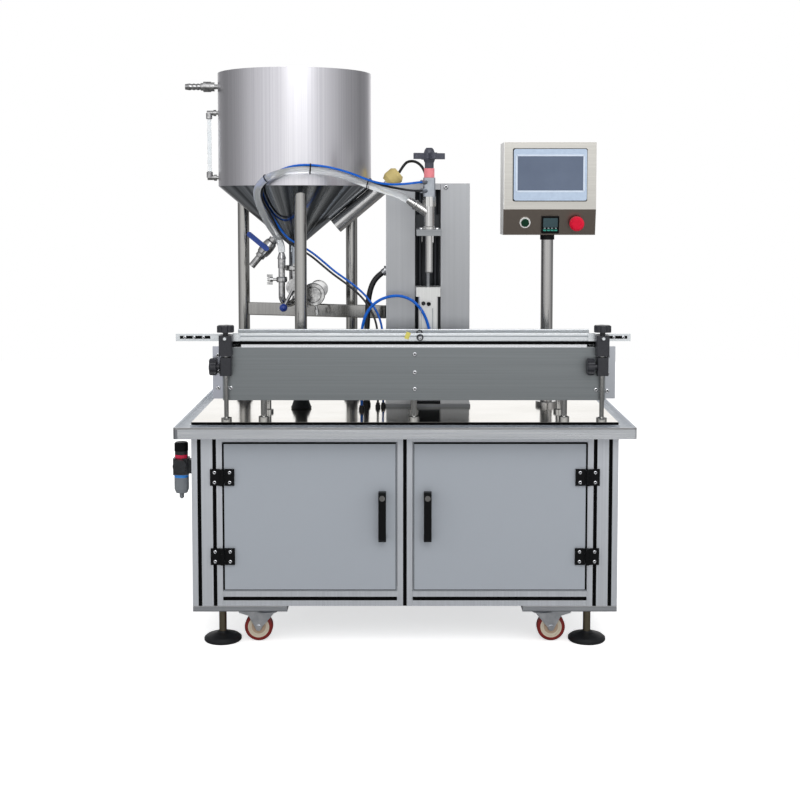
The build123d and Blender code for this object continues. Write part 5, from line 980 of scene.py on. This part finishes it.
# %% [markdown]
# The guide rail is an extrusion with a seal in its groove. Its lead-in bars are slotted, with
# three screws in each, which hold the bar at the wanted reach; the dark inside of each slot is a
# black strip of painted shade. A yellow tag hangs by the jar sensor.

# %% Trim of the guide rail
groove_y, groove_z, groove_ends = -307.6, 821.2, (-478, 502)
groove_run = [((groove_ends[0], groove_y, groove_z), (groove_ends[1], groove_y, groove_z), toward)]
strip("groove_seal", groove_run, 2.2, 1.0, grey_seal, "front_rail")
lead_face, lead_z = -314.2, 819.2
lead_ends = ((-593, -513), (507, 586))
lead_slot_shade_runs = [((start, lead_face, lead_z), (end, lead_face, lead_z), toward) for start, end in lead_ends]
# Painted shade: a black strip for the dark inside of each slot.
strip("lead_in_slot_shade", lead_slot_shade_runs, 8.0, 1.0, black_strip, "front_rail")
lead_screw_x = (-580, -555.5, -531, 525.5, 550.5, 575.5)
lead_screws = [((x, lead_face - 0.5, lead_z), toward) for x in lead_screw_x]
screw_heads("lead_in_screws", lead_screws, 4.6, bright_screw, "front_rail")
tilt = radians(70)
tag_side, tag_up = (sin(tilt), 0, -cos(tilt)), (cos(tilt), 0, sin(tilt))
tag_place, tag_size = (7, -308.3, 823), (12, 19)
plate("sensor_tag", tag_place, tag_side, tag_up, tag_size, 1.5, 0.6, yellow_tag,
      "front_rail", edge=0.2)
print(len(lead_slot_shade_runs), "slots and", len(lead_screws), "screws in the lead-in bars")

# %% [markdown]
# The touch screen is a dark sheet of glass in the pocket of its frame. A pale line round it is a
# painted highlight on the pocket's edge, and a black strip behind the frame is painted shadow. The
# heater's controller on the chin has a dark window over a row of keys. The keys are plain:
# nothing is written on the machine.

# %% Face of the operator's panel
across, upright = (1, 0, 0), (0, 0, 1)
plate("touch_display", (402, -123.1, 1254), across, upright, (180.6, 93.6), 0.8, 0.7, display_glass,
      "panel", edge=0.2)


def round_window(centre, size, y):
    """Four runs along the sides of a rectangle in the plane of y, corner to corner."""
    signs = ((-1, -1), (1, -1), (1, 1), (-1, 1))
    corners = [(centre[0] + i * size[0] / 2, y, centre[1] + k * size[1] / 2) for i, k in signs]
    return [(corners[i], corners[(i + 1) % 4], toward) for i in range(4)]


# Painted highlight along the edges of the display's pocket.
edge_highlight_runs = round_window((402, 1254), (186, 99), -124.2)
strip("display_edge_highlight", edge_highlight_runs, 4.6, 0.6, bezel_highlight, "panel")
# Painted shadow: a black strip round the frame's edge, where it stands off the case.
frame_shadow_runs = round_window((402, 1250), (202, 142), -116.0)
strip("screen_frame_shadow", frame_shadow_runs, 4.2, 1.4, black_strip, "panel")
print("the display is 181 by 94 mm behind", len(edge_highlight_runs), "printed lines")

# %% The heater's controller
chin_turn = radians(11.155)
chin_out = np.array((0, -cos(chin_turn), -sin(chin_turn)))
chin_up = np.array((0, -sin(chin_turn), cos(chin_turn)))
controller_depth, window_rise, key_pitch, key_count = 7.2, 6, 10.2, 4
control_face = np.array((404, -106.817, 1113.5)) + controller_depth * chin_out
window_place = control_face + window_rise * chin_up - 0.1 * chin_out
plate("controller_window", window_place, across, chin_up, (40, 26), 2, 0.6, window_glass,
      "panel", edge=0.2)
key_rows = (("pale_keys", -9.5, 5, 1.8, pale_key), ("teal_keys", -15.5, 8.6, 4.2, teal_key))
for name, rise, key_w, key_h, made in key_rows:
    key_runs = []
    for i in range(key_count):
        from_middle = (i - (key_count - 1) / 2) * key_pitch - key_w / 2
        left = control_face + chin_up * rise + np.array((from_middle, 0, 0))
        key_runs.append((left, left + np.array((key_w, 0, 0)), chin_out))
    strip(name, key_runs, key_h, 0.9, made, "panel")
print(len(key_rows), "rows of", key_count, "keys")

# %% [markdown]
# Small bolts hold the nozzle's flange to its carriage and the column's cover. The lift cylinder
# has two ports and two grooves down its front, in which its switches sit.

# %% Bolts and ports of the lift
flange_bolts = [((x, -245, 1102), upright) for x in (43.5, 86.5)]
screw_heads("flange_bolts", flange_bolts, 5.2, bright_screw, "nozzle", height=1.0)
cover_bolt = [((115.3, -91, 1217), toward)]
screw_heads("cover_bolt", cover_bolt, 7.0, bright_screw, "machine")
cylinder_y = -168
port_ring = ((5.6, 0), (5.6, 1.2), (3.2, 1.2), (3.0, 0.3), (0.02, 0.3))
port, plug = (51.2, cylinder_y, 897.5), (66.0, cylinder_y, 896.0)
# The port is a dark disc: painted shade for the inside of its hole.
spun("cylinder_port", port, toward, port_ring, painted_recess_shade, "machine")
spun("cylinder_plug", plug, toward, port_ring, black_plastic, "machine")
flute_runs = [((x, cylinder_y, 730), (x, cylinder_y, 884), toward) for x in (45, 77)]
strip("cylinder_flutes", flute_runs, 1.6, 0.4, grey_seal, "machine")
print(len(flange_bolts) + len(cover_bolt), "bolts and 2 ports on the lift")

# %% [markdown]
# Cable ties bind the two air tubes to the hose. Each is a flat band: an oval loop square to the
# hose, carried round with a small rectangle for its section.


# %% Ties on the hose
band_t, band_half = 0.9, 1.6
loop_wide = 10.4
upper_hose = 1.195


def tie(name, path, x, tall):
    """An oval band round the hose where it passes x.

    point = middle + (wide + r) cos a · side + (tall + r) sin a · up + w · along, for the four
    corners (r, w) of the band's section.
    """
    upper = np.where(path[:, 2] > upper_hose)[0]
    spot = upper[np.argmin(np.abs(path[upper, 0] - x * mm))]
    along = path[spot + 1] - path[spot - 1]
    along /= np.linalg.norm(along)
    side = np.cross((0, 0, 1.0), along)
    side /= np.linalg.norm(side)
    up = np.cross(along, side)
    angle = np.linspace(0, 2 * pi, 40, endpoint=False)[:, None, None]
    section = ((0, -band_half), (band_t, -band_half), (band_t, band_half), (0, band_half))
    corners = np.array(section) * mm
    reach = corners[None, :, :1]
    grid = (loop_wide * mm + reach) * np.cos(angle) * side + (tall * mm + reach) * np.sin(angle) * up
    grid = grid + corners[None, :, 1:] * along + path[spot] + up * (tall - loop_wide) * mm
    data = grid_mesh(name, grid, close_rows=True, close_columns=True, smooth=False)
    band = add_object(name, data, black_plastic)
    close_ends(data)
    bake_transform(band)


ties = (("left_tie", -374, 11.0), ("middle_tie", -256, 14.0), ("right_tie", -97, 13.9))
for name, x, tall in ties:
    tie(name, paths["product_hose_line"], x, tall)
print(len(ties), "ties on the hose")

# %% [markdown]
# The floor is one wide sheet, so pale that its far edge is lost in the white of the room. In
# what the steel mirrors it is greyer, as the unlit floor of a workshop is.

# %% Floor
floor_half = 6.0
corners = np.array([[[-1, -1, 0], [1, -1, 0]], [[-1, 1, 0], [1, 1, 0]]], dtype=float) * floor_half
# Matt paint, with a glow that only the camera sees.
floor_paint = bpy.data.materials.new("floor_paint")
floor_tree = new_tree(floor_paint)
ray = add_node(floor_tree, "ShaderNodeLightPath")
toned = [(0, ray.outputs["Is Glossy Ray"]), (6, linear("f4f4f4")), (7, linear("8a8a8a"))]
paint = add_node(floor_tree, "ShaderNodeMix", toned, data_type="RGBA")
matt = add_node(floor_tree, "ShaderNodeBsdfDiffuse", [("Color", paint.outputs[2])])
only_seen = [(0, ray.outputs["Is Camera Ray"]), (1, 0.62)]
lift = add_node(floor_tree, "ShaderNodeMath", only_seen, operation="MULTIPLY")
glow = add_node(floor_tree, "ShaderNodeEmission", [("Color", (1, 1, 1, 1)), ("Strength", lift.outputs[0])])
both = add_node(floor_tree, "ShaderNodeAddShader", [(0, matt.outputs[0]), (1, glow.outputs[0])])
add_node(floor_tree, "ShaderNodeOutputMaterial", [(0, both.outputs[0])])
floor = add_object("floor", grid_mesh("floor", corners, smooth=False), floor_paint)
print("floor", 2 * floor_half, "m wide")
